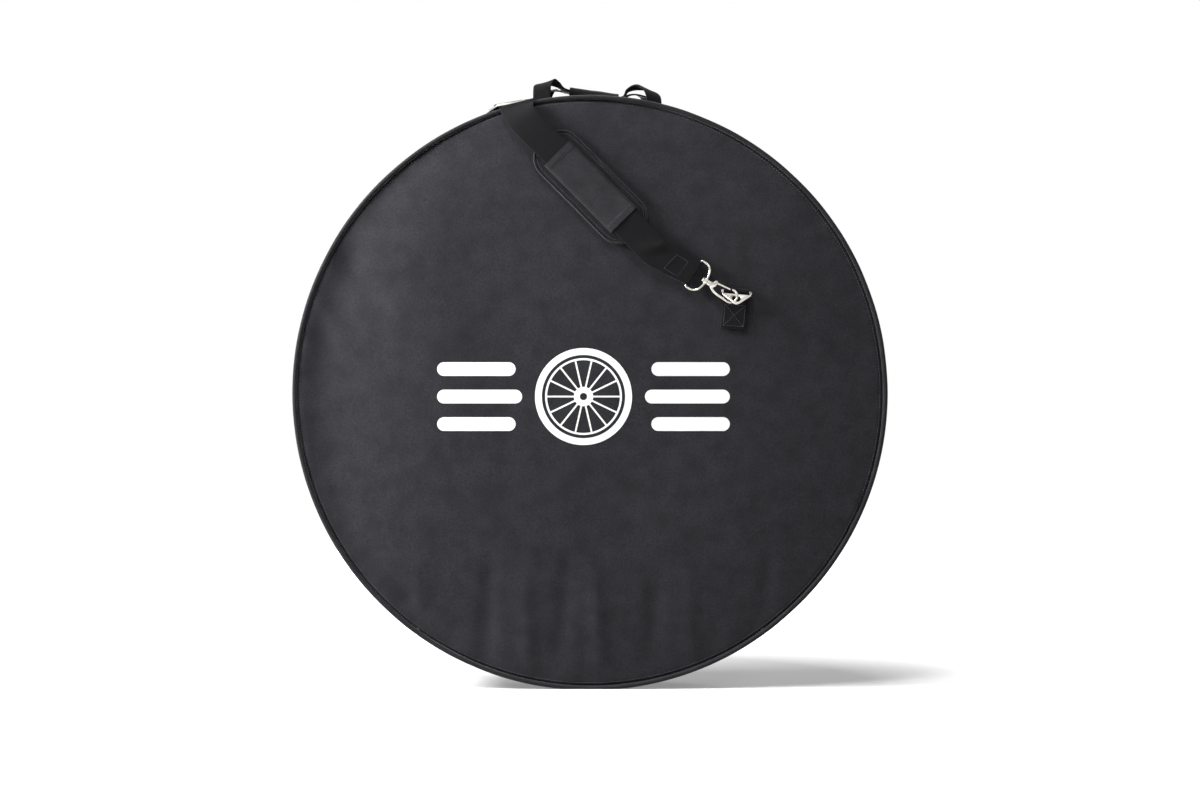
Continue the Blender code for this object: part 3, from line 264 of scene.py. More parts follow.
def woven_polyester(name, thread_mm, light, dark, sheen):
    """Make plain-woven polyester: matt, finely ribbed both ways and slightly mottled."""
    cloth = bpy.data.materials.new(name)
    cloth.use_nodes = True
    tree = cloth.node_tree
    shader = tree.nodes["Principled BSDF"]
    place = add_node(tree, "ShaderNodeTexCoord")
    split = add_node(tree, "ShaderNodeSeparateXYZ", {0: place.outputs["Object"]})
    pitch = 2 * math.pi / (thread_mm * MM)
    waves = []
    for axis in "XZY":
        turns = add_node(tree, "ShaderNodeMath", {0: split.outputs[axis], 1: pitch}, operation="MULTIPLY")
        waves.append(add_node(tree, "ShaderNodeMath", {0: turns.outputs[0]}, operation="SINE").outputs[0])
    pair = add_node(tree, "ShaderNodeMath", {0: waves[0], 1: waves[1]}, operation="MULTIPLY")
    facing = add_node(tree, "ShaderNodeSeparateXYZ", {0: place.outputs["Normal"]}).outputs["Y"]
    square = add_node(tree, "ShaderNodeMath", {0: facing, 1: facing}, operation="MULTIPLY")
    rim_share = add_node(tree, "ShaderNodeMath", {0: 1.0, 1: square.outputs[0]}, operation="SUBTRACT")
    rim_wave = add_node(tree, "ShaderNodeMath", {0: waves[2], 1: rim_share.outputs[0]}, operation="MULTIPLY")
    weave = add_node(tree, "ShaderNodeMath", {0: pair.outputs[0], 1: rim_wave.outputs[0]}, operation="ADD")
    spot = place.outputs["Object"]
    mottle = add_node(tree, "ShaderNodeTexNoise", {"Vector": spot, "Scale": 38, "Detail": 5}).outputs[0]
    slub = add_node(tree, "ShaderNodeTexNoise", {"Vector": spot, "Scale": 420, "Detail": 2}).outputs[0]
    both = add_node(tree, "ShaderNodeMath", {0: mottle, 1: slub}, operation="MULTIPLY")
    ramp = add_node(tree, "ShaderNodeValToRGB", {"Fac": both.outputs[0]})
    ramp.color_ramp.elements[0].position, ramp.color_ramp.elements[0].color = 0.12, linear(dark)
    ramp.color_ramp.elements[1].position, ramp.color_ramp.elements[1].color = 0.38, linear(light)
    tree.links.new(ramp.outputs[0], shader.inputs["Base Color"])
    height = add_node(tree, "ShaderNodeMath", {0: weave.outputs[0], 1: slub}, operation="ADD")
    bump = add_node(tree, "ShaderNodeBump", {
        "Height": height.outputs[0], "Distance": 0.12 * MM, "Strength": 0.7})
    tree.links.new(bump.outputs[0], shader.inputs["Normal"])
    shader.inputs["Roughness"].default_value = 0.6
    shader.inputs["Specular IOR Level"].default_value = 0.08
    shader.inputs["Sheen Weight"].default_value = sheen
    shader.inputs["Sheen Roughness"].default_value = 0.45
    return cloth


# Plain-woven polyester, PU coated behind: dark slate, matt, with a faint sheen at low angles.
# Real threads are 0.5 mm apart. They are drawn 1.3 mm apart so that the weave shows.
outer_cloth = woven_polyester("slate_woven_polyester", 1.3, "28282C", "1D1D20", 0.14)
# Closed-cell polyethylene foam: grey, dead matt, cut from sheet.
foam_grey = woven_polyester("closed_cell_foam", 2.4, "6A6A6C", "58585A", 0)
# Light taffeta lining: charcoal, finer than the outside and with more sheen.
lining_cloth = woven_polyester("taffeta_lining", 1.0, "303035", "26262A", 0.2)

# Each layer has its distance under the outer face, its thickness and its cloth.
for layer_name, skip, thickness, cloth, slot_name in (
        ("fabric", 0, 1.2 * MM, outer_cloth, "outer_fabric"), ("foam", 1.5 * MM, 5 * MM, foam_grey, "foam"),
        ("lining", 6.8 * MM, 0.8 * MM, lining_cloth, "lining")):
    sides, ring_gap = (320, 5.5 * MM) if layer_name == "fabric" else (160, 12 * MM)
    for side, side_name in ((-1, "front"), (1, "rear")):
        layer = sewn_disc(f"{side_name}_{layer_name}_skin", side, skip, thickness, sides, ring_gap)
        layer.data.materials.append(cloth)
        if side < 0:
            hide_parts(f"front_panel_{layer_name}", f"front_sill_{layer_name}")
            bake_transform(layer)
        else:
            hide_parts(f"rear_panel_{layer_name}")
            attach(layer, "bag_body")


# Piping
# A thick cord wrapped in bias tape, sewn into the seam between each panel and the gusset.
# A row of thread shows where the tape meets the panel.

PIPING_RADIUS = 3 * MM
PIPING_RING = RIM_RADIUS - PIPING_RADIUS
PIPING_DEPTH = HALF_DEPTH - PIPING_RADIUS
SEAM_RING = 360.4 * MM


def copies(name, model, places):
    """Copy a small model to a list of places, all in one new mesh, and delete the model."""
    corners, faces = [], []
    for place in places:
        first = len(corners)
        corners += [place @ vertex.co for vertex in model.data.vertices]
        faces += [[first + index for index in polygon.vertices] for polygon in model.data.polygons]
    mesh = bpy.data.meshes.new(name)
    mesh.from_pydata(corners, [], faces)
    piece = bpy.data.objects.new(name, mesh)
    scene.collection.objects.link(piece)
    for material in model.data.materials:
        mesh.materials.append(material)
    bpy.data.objects.remove(model, do_unlink=True)
    return piece


def round_edges(piece, width, sharper_than, segments=1):
    """Bevel a piece's edges that are sharper than an angle in degrees."""
    bevel = piece.modifiers.new("rounded_edges", "BEVEL")
    bevel.width = width
    bevel.segments = segments
    bevel.limit_method = "ANGLE"
    bevel.angle_limit = math.radians(sharper_than)
    apply_all(piece)


def stitch_row(name, points, outs, thread, length, pitch, radius=0.42 * MM):
    """Sew a row of stitches along points, each lying flat on the cloth under it."""
    bpy.ops.object.select_all(action="DESELECT")
    bpy.ops.mesh.primitive_cylinder_add(vertices=6, radius=radius, depth=length,
                                        rotation=(0, math.pi / 2, 0))
    stitch = bpy.context.object
    round_edges(stitch, radius * 0.6, 70)
    stitch.data.materials.append(thread)
    places, spare = [], pitch / 2
    for start, end, out in zip(points, points[1:], outs):
        run = (end - start).length
        while spare <= run:
            along = (end - start).normalized()
            across = out.cross(along).normalized()
            axes = Matrix((along, across, along.cross(across))).transposed().to_4x4()
            places.append(Matrix.Translation(start + along * spare) @ axes)
            spare += pitch
        spare -= run
    row = copies(name, stitch, places)
    only(row)
    bpy.ops.object.shade_smooth()
    return row


# Bias tape: the same polyester cut on the slant and drawn tight round its cord; a little darker, as painted
# shade.
shaded_bias_tape = woven_polyester("shaded_bias_tape", 1.0, "222225", "17171A", 0.14)
shaded_bias_tape.node_tree.nodes["Principled BSDF"].inputs["Roughness"].default_value = 0.62
# Bonded nylon thread: dark grey and slightly shiny, so the row reads as a thin paler line.
grey_thread = woven_polyester("bonded_nylon_thread", 0.5, "414146", "333337", 0.1)
grey_thread.node_tree.nodes["Principled BSDF"].inputs["Roughness"].default_value = 0.45

for side, side_name in ((-1, "front"), (1, "rear")):
    bpy.ops.object.select_all(action="DESELECT")
    bpy.ops.mesh.primitive_torus_add(
        location=(0, side * PIPING_DEPTH, CENTRE_Z), rotation=(math.pi / 2, 0, 0), major_segments=288,
        minor_segments=14, major_radius=PIPING_RING, minor_radius=PIPING_RADIUS)
    piping = bpy.context.object
    piping.name = f"{side_name}_piping_cord"
    apply_all(piping)
    for vertex in piping.data.vertices:
        turn = math.atan2(vertex.co.z - CENTRE_Z, vertex.co.x)
        wander = noise.noise(Vector((math.cos(turn) * 6, math.sin(turn) * 6, side))) * 0.7 * MM
        vertex.co.y += wander * 0.6
        vertex.co.x += math.cos(turn) * min(wander, 0)
        vertex.co.z = max(vertex.co.z + math.sin(turn) * min(wander, 0), 0)
    only(piping)
    bpy.ops.object.shade_smooth()
    piping.data.materials.append(shaded_bias_tape)
    folds = front_folds if side < 0 else rear_folds
    ring, outs = [], []
    for step in range(721):
        turn = math.radians(step / 2)
        x, z = math.cos(turn) * SEAM_RING, CENTRE_Z + math.sin(turn) * SEAM_RING
        ring.append(Vector((x, side * (panel_depth(x, z, folds) + 0.1 * MM), z)))
        outs.append(Vector((0, side, 0)))
    row = stitch_row(f"{side_name}_seam_stitches", ring, outs, grey_thread, 2.9 * MM, 3.9 * MM)
    if side < 0:
        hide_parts("front_piping", "front_sill_piping")
        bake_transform(piping)
        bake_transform(row)
    else:
        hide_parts("rear_piping")
        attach(piping, "bag_body")
        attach(row, "bag_body")


# Gusset
# The wall between the panels: a padded foot of polyester where the bag stands, and above it two
# slimmer bands with the zip between them. Its foot is pressed flat by the bag's weight.

GUSSET_RADIUS = 366 * MM
GUSSET_HALF = 40.6 * MM
ZIP_START, ZIP_END = -54, 234
END_GAP = 0.03
BAND_EDGE = 9 * MM
ZIP_SEAM = 12.5 * MM
BAND_RADIUS = RIM_RADIUS - 9.7 * MM
FLANGE_START, FLANGE_END = 40.9 * MM, 45.6 * MM
FLANGE_RADIUS = 366.3 * MM


def flat_cloth(name, across, up):
    """Lay out a flat piece of cloth, one unit square, with this many squares each way."""
    bpy.ops.object.select_all(action="DESELECT")
    bpy.ops.mesh.primitive_grid_add(x_subdivisions=across, y_subdivisions=up, size=1)
    bpy.context.object.name = name
    return bpy.context.object


def rim_strip(name, angles, depths, radius_at, counts, thickness, floor_z=0.0):
    """Model a strip of cloth that runs round the rim: a flat grid, bent, then thickened inwards."""
    strip = flat_cloth(name, *counts)
    for vertex in strip.data.vertices:
        angle = angles[0] + (angles[1] - angles[0]) * (0.5 - vertex.co.x)
        depth = depths[0] + (depths[1] - depths[0]) * (0.5 + vertex.co.y)
        radius = radius_at(depth, angle)
        turn = math.radians(angle)
        vertex.co = (radius * math.cos(turn), depth, max(CENTRE_Z + radius * math.sin(turn), floor_z))
    if angles[1] - angles[0] == 360:
        only(strip)
        bpy.ops.object.mode_set(mode="EDIT")
        bpy.ops.mesh.select_all(action="SELECT")
        bpy.ops.mesh.remove_doubles(threshold=0.01 * MM)
        bpy.ops.object.mode_set(mode="OBJECT")
    length = GUSSET_RADIUS * math.radians(angles[1] - angles[0])
    for corner in strip.data.uv_layers[0].data:
        corner.uv = (corner.uv[0] * length, corner.uv[1] * (depths[1] - depths[0]))
    thicken(strip, thickness)
    bpy.ops.object.shade_smooth_by_angle(angle=math.radians(40))
    return strip


def foot_radius(skip):
    """Return the function for the padded foot's radius, crowned across its width."""
    def radius(depth, angle):
        share = min(1, abs(depth) / GUSSET_HALF)
        crown = 5.2 * MM * min(1, (1 - share ** 3) * 1.15)
        crown += 0.7 * MM * noise.noise(Vector((angle / 3, depth * 60, 5))) * (1 - share)
        ends = min(1, (angle - ZIP_END) / 2.2, (360 + ZIP_START - angle) / 2.2)
        return GUSSET_RADIUS + crown * max(0, ends) ** 0.5 - skip
    return radius


def band_radius(skip):
    """Return the function for a zip band's radius, which slopes down to the zip."""
    def radius(depth, angle):
        share = (abs(depth) - BAND_EDGE) / (GUSSET_HALF - BAND_EDGE)
        slack = noise.noise(Vector((angle / 4, depth * 40, 2))) * 0.9 * MM
        slack *= math.sin(math.pi * min(1, max(0, share)))
        lip = 0.5 * MM * math.exp(-(max(0, share) / 0.06) ** 2)
        return BAND_RADIUS + (GUSSET_RADIUS - BAND_RADIUS) * share + slack - lip - skip
    return radius


for layer_name, skip, thickness, cloth, slot_name in (
        ("fabric", 0, 1.2 * MM, outer_cloth, "outer_fabric"), ("foam", 1.5 * MM, 4 * MM, foam_grey, "foam"),
        ("lining", 5.8 * MM, 0.8 * MM, lining_cloth, "lining")):
    foot = rim_strip(f"foot_{layer_name}_strip", (ZIP_END + END_GAP, 360 + ZIP_START - END_GAP),
                     (-GUSSET_HALF, GUSSET_HALF), foot_radius(skip), (150, 26), thickness, floor_z=skip)
    foot.data.materials.append(cloth)
    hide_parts(f"base_gusset_{layer_name}")
    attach(foot, "bag_body")

# The piping's own seam allowance closes the seam between its cord and the gusset.
for side, side_name in ((-1, "front"), (1, "rear")):
    depths = (FLANGE_START, FLANGE_END) if side > 0 else (-FLANGE_END, -FLANGE_START)
    flange = rim_strip(f"{side_name}_piping_flange", (-180, 180), depths,
                       lambda depth, angle: FLANGE_RADIUS, (288, 3), 2.2 * MM)
    flange.data.materials.append(shaded_bias_tape)
    if side < 0:
        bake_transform(flange)
    else:
        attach(flange, "bag_body")

for side, side_name, body in ((-1, "front", "front_cover"), (1, "rear", "bag_body")):
    for layer_name, edge, skip, thickness, cloth, slot_name in (
            ("fabric", BAND_EDGE, 0, 1.2 * MM, outer_cloth, "outer_fabric"),
            ("lining", 17 * MM, 1.5 * MM, 0.8 * MM, lining_cloth, "lining")):
        depths = (edge, GUSSET_HALF) if side > 0 else (-GUSSET_HALF, -edge)
        band = rim_strip(f"{side_name}_band_{layer_name}_strip", (ZIP_START + END_GAP, ZIP_END - END_GAP),
                         depths, band_radius(skip), (480, 10), thickness)
        band.data.materials.append(cloth)
        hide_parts(f"zip_band_{side_name}_{layer_name}")
        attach(band, body)
    ring, outs = [], []
    for step in range(577):
        angle = ZIP_START + 0.5 + (ZIP_END - ZIP_START - 1) * step / 576
        turn = math.radians(angle)
        radius = band_radius(0)(ZIP_SEAM, angle) + 0.1 * MM
        ring.append(Vector((radius * math.cos(turn), side * ZIP_SEAM, CENTRE_Z + radius * math.sin(turn))))
        outs.append(Vector((math.cos(turn), 0, math.sin(turn))))
    row = stitch_row(f"{side_name}_zip_stitches", ring, outs, grey_thread, 2.9 * MM, 3.9 * MM)
    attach(row, body)


# Zip
# Two woven tapes with nylon coils, which mesh along the middle of the gusset. The slider is cast
# and plated, with a stamped pull. Behind it the coils are meshed, as the bag is shut.

TAPE_RADIUS = BAND_RADIUS - 1.5 * MM
COIL_MIDDLE = TAPE_RADIUS + 1.3 * MM
TOOTH_PITCH = 2.1 * MM


def woven_webbing(name, cord_mm, light, dark, roughness):
    """Make narrow webbing: staggered floats of thick yarn along it, read from the UV map in metres."""
    webbing_cloth = bpy.data.materials.new(name)
    webbing_cloth.use_nodes = True
    tree = webbing_cloth.node_tree
    shader = tree.nodes["Principled BSDF"]
    place = add_node(tree, "ShaderNodeUVMap", uv_map="UVMap")
    floats = add_node(tree, "ShaderNodeTexBrick", {
        "Vector": place.outputs[0], "Scale": 1, "Brick Width": 2.2 * cord_mm * MM,
        "Row Height": cord_mm * MM, "Mortar Size": 0.2 * cord_mm * MM, "Mortar Smooth": 1,
        "Color1": linear(light), "Color2": linear(dark), "Mortar": linear(dark)}, offset=0.5)
    fuzz = add_node(tree, "ShaderNodeTexNoise", {"Vector": place.outputs[0], "Scale": 700, "Detail": 2})
    shade = add_node(tree, "ShaderNodeMix", {"Factor": fuzz.outputs[0], "A": floats.outputs[0],
                                             "B": linear(light)}, data_type="RGBA")
    tree.links.new(shade.outputs["Result"], shader.inputs["Base Color"])
    gap = add_node(tree, "ShaderNodeMath", {0: 1.0, 1: floats.outputs["Fac"]}, operation="SUBTRACT")
    height = add_node(tree, "ShaderNodeMath", {0: gap.outputs[0], 1: fuzz.outputs[0]}, operation="ADD")
    bump = add_node(tree, "ShaderNodeBump", {
        "Height": height.outputs[0], "Distance": 0.2 * MM, "Strength": 0.8})
    tree.links.new(bump.outputs[0], shader.inputs["Normal"])
    shader.inputs["Roughness"].default_value = roughness
    shader.inputs["Specular IOR Level"].default_value = 0.08
    shader.inputs["Sheen Weight"].default_value = 0.06
    shader.inputs["Sheen Roughness"].default_value = 0.4
    return webbing_cloth


def plain_finish(name, colour, roughness, metallic=0.0, grain=300.0, depth_mm=0.02):
    """Make a hard finish of one colour whose roughness and surface vary a little, as moulded or plated parts
    do.
    """
    finish = bpy.data.materials.new(name)
    finish.use_nodes = True
    tree = finish.node_tree
    shader = tree.nodes["Principled BSDF"]
    place = add_node(tree, "ShaderNodeTexCoord")
    cloud = add_node(tree, "ShaderNodeTexNoise", {
        "Vector": place.outputs["Object"], "Scale": grain, "Detail": 4})
    spread = add_node(tree, "ShaderNodeMapRange", {"Value": cloud.outputs[0], "To Min": roughness * 0.75,
                                                   "To Max": roughness * 1.3})
    tree.links.new(spread.outputs[0], shader.inputs["Roughness"])
    bump = add_node(tree, "ShaderNodeBump", {
        "Height": cloud.outputs[0], "Distance": depth_mm * MM, "Strength": 0.4})
    tree.links.new(bump.outputs[0], shader.inputs["Normal"])
    shader.inputs["Base Color"].default_value = linear(colour)
    shader.inputs["Metallic"].default_value = metallic
    return finish


# Zip tape: fine black polyester twill, matt. Nylon 66 coil: black monofilament, semi-gloss.
zip_tape_cloth = woven_webbing("black_zip_tape", 0.8, "232326", "1A1A1C", 0.75)
nylon_coil = plain_finish("black_nylon_coil", "1C1C1E", 0.38)
# Nickel plate over cast zinc: warm pale grey, bright, slightly clouded by handling.
nickel = plain_finish("nickel_plated_zinc", "D8D4CC", 0.2, 1.0, 140.0, 0.03)


def machined(node, edge, material, body):
    """Copy a CAD node, join its loose triangles and round its edges as a casting's are."""
    piece = bpy.data.objects.new(f"{node}_cast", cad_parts[node].data.copy())
    scene.collection.objects.link(piece)
    only(piece)
    bpy.ops.object.mode_set(mode="EDIT")
    bpy.ops.mesh.select_all(action="SELECT")
    bpy.ops.mesh.remove_doubles(threshold=0.005 * MM)
    bpy.ops.mesh.dissolve_limited(angle_limit=math.radians(1))
    bpy.ops.object.mode_set(mode="OBJECT")
    round_edges(piece, edge, 35, 2)
    bpy.ops.object.shade_smooth_by_angle(angle=math.radians(40))
    piece.data.materials.clear()
    piece.data.materials.append(material)
    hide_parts(node)
    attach(piece, body)
    return piece


for side, side_name, body in ((-1, "front", "front_cover"), (1, "rear", "bag_body")):
    depths = (1 * MM, 16.7 * MM) if side > 0 else (-16.7 * MM, -1 * MM)
    tape = rim_strip(f"{side_name}_zip_tape_strip", (ZIP_START + END_GAP, ZIP_END - END_GAP), depths,
                     lambda depth, angle: TAPE_RADIUS, (480, 3), 0.6 * MM)
    tape.data.materials.append(zip_tape_cloth)
    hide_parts(f"zip_tape_{side_name}")
    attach(tape, body)
    bpy.ops.object.select_all(action="DESELECT")
    bpy.ops.mesh.primitive_cylinder_add(vertices=7, radius=0.62 * MM, depth=3 * MM,
                                        rotation=(math.pi / 2, 0, 0.12))
    tooth = bpy.context.object
    tooth.scale = (1, 1, 1.55)
    round_edges(tooth, 0.35 * MM, 70)
    tooth.data.materials.append(nylon_coil)
    places = []
    steps = round(math.radians(ZIP_END - ZIP_START - 2) * COIL_MIDDLE / TOOTH_PITCH)
    for step in range(steps):
        angle = ZIP_START + 1 + (ZIP_END - ZIP_START - 2) * (step + (0.5 if side > 0 else 0)) / steps
        out = Matrix.Rotation(math.radians(90 - angle), 4, "Y")
        middle = Vector((0, side * 2.05 * MM, COIL_MIDDLE))
        places.append(Matrix.Translation((0, 0, CENTRE_Z)) @ out @ Matrix.Translation(middle))
    coil = copies(f"{side_name}_zip_coil_teeth", tooth, places)
    only(coil)
    bpy.ops.object.shade_smooth()
    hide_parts(f"zip_coil_{side_name}")
    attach(coil, body)

machined("zip_slider", 0.25 * MM, nickel, "zip_slider")
machined("zip_pull", 0.3 * MM, nickel, "zip_pull")
machined("zip_stop_closed_end", 0.3 * MM, nickel, "bag_body")
machined("zip_stop_open_end", 0.3 * MM, nickel, "bag_body")


# Carry handles
# Two loops of 22 mm webbing, one sewn to each half. A sleeve folded round both makes the grip
# and closes with hook and loop, so it opens when the front folds down.

def smooth_route(sections, per):
    """Run a smooth curve through sections of (middle, half width, outward) in millimetres."""
    rows = []
    count = len(sections)
    for index in range(count - 1):
        ring = [sections[max(0, min(count - 1, index + step))] for step in (-1, 0, 1, 2)]
        for step in range(per + (1 if index == count - 2 else 0)):
            t = step / per
            row = []
            for item in range(3):
                a, b, c, d = (Vector(section[item]) for section in ring)
                row.append(0.5 * (2 * b + (c - a) * t + (2 * a - 5 * b + 4 * c - d) * t ** 2
                                  + (3 * b - a - 3 * c + d) * t ** 3))
            middle, half, out = row
            flat = (Vector(ring[1][1]).length * (1 - t) + Vector(ring[2][1]).length * t) * half.normalized()
            rows.append((middle * MM, flat * MM, out.normalized()))
    return rows


def webbing(name, rows):
    """Weave a strap along rows: a flat grid, laid on the route and thickened to both sides."""
    strap = flat_cloth(name, len(rows) - 1, 8)
    lengths = [0.0]
    for before, after in zip(rows, rows[1:]):
        lengths.append(lengths[-1] + (after[0] - before[0]).length)
    width = rows[0][1].length * 2
    for vertex in strap.data.vertices:
        middle, half, _ = rows[round((vertex.co.x + 0.5) * (len(rows) - 1))]
        vertex.co = middle + half * 2 * vertex.co.y
    for corner in strap.data.uv_layers[0].data:
        corner.uv = (lengths[round(corner.uv[0] * (len(rows) - 1))], corner.uv[1] * width)
    thicken(strap, WEBBING_THICKNESS, 0)
    round_edges(strap, 0.3 * WEBBING_THICKNESS, 60, 2)
    bpy.ops.object.shade_smooth_by_angle(angle=math.radians(50))
    strap.data.materials.append(black_webbing)
    return strap


# Polypropylene webbing: near-black ribbed yarn with a dull shine. Its ribs are 1.1 mm apart.
WEBBING_THICKNESS = 1.8 * MM
black_webbing = woven_webbing("black_polypropylene_webbing", 1.1, "111113", "09090A", 0.62)


def handle_route(side, drop):
    """Return a handle's route from its left foot over the grip to its right foot."""
    grip_left, grip_right = (748.9, 739.44) if side < 0 else (746.82, 737.36)
    return smooth_route((
        ((-60, 34 * side, 728), (-11, 0, -1.8), (0, side, 0)),
        ((-60, 34 * side, 745 - drop), (-11, 0, 0), (0, side, 0)),
        ((-58.5, 32 * side, 752 - drop), (-10.4, -3.6 * side, 0), (-0.11, 0.84 * side, 0.53)),
        ((-51, 24 * side, 757 - drop), (-7.1, -8.2 * side, -2.2), (-0.1, 0.4 * side, 0.91)),
        ((-41, 13 * side, 755 - drop), (-2.7, -10.6 * side, -1.1), (0.2, 0.1 * side, 0.98)),
        ((-28.8, 0, grip_left), (0, -11 * side, 0), (0, 0, 1)),
        ((5, 0, (grip_left + grip_right) / 2), (0, -11 * side, 0), (0, 0, 1)),
        ((38.5, 0, grip_right), (0, -11 * side, 0), (0, 0, 1)),
        ((47, 7 * side, 748 - drop), (1.1, -10.95 * side, 0), (-0.37, 0, 0.93)),
        ((58, 16 * side, 751 - drop), (3.3, -10.4 * side, -1.6), (0, 0.2 * side, 0.98)),
        ((70, 26 * side, 748 - drop), (7, -8.2 * side, -2.3), (0.39, 0.49 * side, 0.78)),
        ((78.5, 33 * side, 739 - drop), (9.3, -5.8 * side, -1.2), (0.4, 0.9 * side, 0.2)),
        ((80, 34 * side, 724.1), (9.35, -4.4 * side, -2.9), (0.41, 0.91 * side, 0))), 7)


for side, side_name, body, drop in ((-1, "front", "front_cover", 0), (1, "rear", "bag_body", 5)):
    loop = webbing(f"{side_name}_carry_loop", handle_route(side, drop))
    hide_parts(f"handle_{side_name}")
    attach(loop, body)

# The wrap's frame sits on the rim, tilted as the grips are. Its section is a box with soft corners.
WRAP_TOP = Matrix.Translation((4 * MM, 0, CENTRE_Z + RIM_RADIUS))
WRAP_PLACE = WRAP_TOP @ Matrix.Rotation(math.radians(8), 4, "Y")
WRAP_LENGTH, WRAP_GIRTH = 62 * MM, 56 * MM
WRAP_MIDDLE = 5.2 * MM
wrap = flat_cloth("grip_wrap", 26, 40)
for vertex in wrap.data.vertices:
    along = vertex.co.x * WRAP_LENGTH
    turn = math.radians(-62 + 322 * (vertex.co.y + 0.5))
    soft = 0.35 * MM * noise.noise(Vector((along * 60, turn, 4)))
    flat = abs(math.cos(turn)) ** 0.45 * math.copysign(1, math.cos(turn))
    tall = abs(math.sin(turn)) ** 0.6 * math.copysign(1, math.sin(turn))
    high = WRAP_MIDDLE + (4.6 * MM + soft) * tall
    vertex.co = WRAP_PLACE @ Vector((along, -(12.6 * MM + soft) * flat, high))
for corner in wrap.data.uv_layers[0].data:
    corner.uv = (corner.uv[0] * WRAP_LENGTH, corner.uv[1] * WRAP_GIRTH)
thicken(wrap, 1.2 * MM, 0)
bpy.ops.object.shade_smooth_by_angle(angle=math.radians(50))
wrap.data.materials.append(shaded_bias_tape)
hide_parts("handle_wrap")
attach(wrap, "front_cover")
for end in (-27.5, 27.5):
    ring, outs = [], []
    for step in range(25):
        turn = math.radians(20 + 140 * step / 24)
        flat = abs(math.cos(turn)) ** 0.45 * math.copysign(1, math.cos(turn))
        tall = abs(math.sin(turn)) ** 0.6
        spot = Vector((end * MM, -13.3 * MM * flat, WRAP_MIDDLE + 5.25 * MM * tall))
        ring.append(WRAP_PLACE @ spot)
        outs.append((WRAP_PLACE.to_3x3() @ Vector((0, -math.cos(turn), math.sin(turn)))).normalized())
    row = stitch_row(f"wrap_stitches_{'left' if end < 0 else 'right'}", ring, outs, grey_thread,
                     2.4 * MM, 3.3 * MM)
    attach(row, "front_cover")


# Shoulder strap
# 38 mm webbing, folded round a hook at each end and doubled over the rim, where the tri-glide
# sets its length. It leans across the front, so its edges twist a little on the way.

# Each section of a strap is its middle, half its width and the way its face points, in millimetres.
# Half its width has one slant in the hook's bow, one down the front, one at the rim and one in
# the tri-glide.
IN_BOW, ON_FRONT = (9.25, 0.63, 14.25), (13.51, 0.62, 13.35)
AT_RIM, IN_GLIDE = (21.05, 0, 5.37), (16.1, 9.21, 4.1)
FRONT_STRAP = smooth_route((
    ((99.83, -65.93, 530.73), (10.34, 0.7, 15.92), (-0.08, 1, 0)),
    ((119.14, -65.58, 520.12), IN_BOW, (-0.08, 1, 0)),
    ((128.28, -61.77, 514.94), IN_BOW, (0.15, 0.98, -0.13)),
    ((129.47, -62.43, 514.31), IN_BOW, (0.56, 0.75, -0.34)),
    ((130.38, -64.42, 513.9), IN_BOW, (0.87, 0.07, -0.48)),
    ((129.81, -66.52, 514.32), IN_BOW, (0.67, -0.66, -0.34)),
    ((128.3, -67.48, 515.19), IN_BOW, (0.16, -0.99, -0.04)),
    ((119.31, -67.67, 520.13), IN_BOW, (0.08, -1, 0)),
    ((100, -68.03, 530.73), ON_FRONT, (0.08, -1, 0)),
    ((81.14, -68.37, 541.09), ON_FRONT, (0.08, -1, 0)),
    ((70, -68.08, 552.35), ON_FRONT, (0.07, -1, 0)),
    ((27.4, -66.9, 595.3), ON_FRONT, (0.03, -1, -0.02)),
    ((-26.2, -64.1, 649.5), ON_FRONT, (0.05, -1, 0.02)),
    ((-79.94, -60.89, 703.69), ON_FRONT, (0.08, -1, 0)),
    ((-90.65, -51.3, 723.46), AT_RIM, (0, -1, 0)),
    ((-91.4, -50.04, 726.41), AT_RIM, (-0.17, -0.71, 0.69)),
    ((-91.71, -47, 727.63), AT_RIM, (-0.25, 0, 0.97)),
    ((-96.88, -37.21, 725.92), IN_GLIDE, (-0.26, 0.03, 0.96)),
    ((-101.05, -31.64, 729.79), IN_GLIDE, (-0.26, 0.03, 0.96)),
    ((-103.45, -27.1, 729), IN_GLIDE, (-0.26, 0.03, 0.96)),
    ((-104.99, -21.83, 723.23), IN_GLIDE, (-0.26, 0.03, 0.96)),
    ((-108.31, -15.53, 722.13), IN_GLIDE, (-0.26, 0.03, 0.96))), 6)
strap = webbing("front_strap", FRONT_STRAP)
# A soft crease crosses the strap between the pad and the stitched end.
for vertex in strap.data.vertices:
    vertex.co.y -= fold(vertex.co.x, vertex.co.z, (58, 546), (98, 548), 3, 4.5)
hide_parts("strap_webbing_front")
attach(strap, "front_cover")

# Over the rim the webbing is doubled, and it stretches across as the front folds down.
over = []
for lift in (-1.05, 1.05):
    rows = smooth_route((
        ((-108.73 - 0.26 * lift, -15.24, 723.09 + 0.96 * lift), (16.1, 9.21, 4.12), (-0.26, 0.03, 0.96)),
        ((-121.9 - 0.31 * lift, 9.7, 718.9 + 0.95 * lift), (15.8, 9.21, 5.2), (-0.31, 0, 0.95)),
        ((-135.23 - 0.37 * lift, 34.73, 714.31 + 0.93 * lift), (15.37, 9.21, 6.32), (-0.37, 0, 0.93))), 12)
    over.append(webbing(f"strap_over_rim_{len(over)}", rows))
only(*over)
bpy.ops.object.join()
over[0].name = "strap_over_rim_webbing"
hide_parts("strap_over_rim")
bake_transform(over[0])

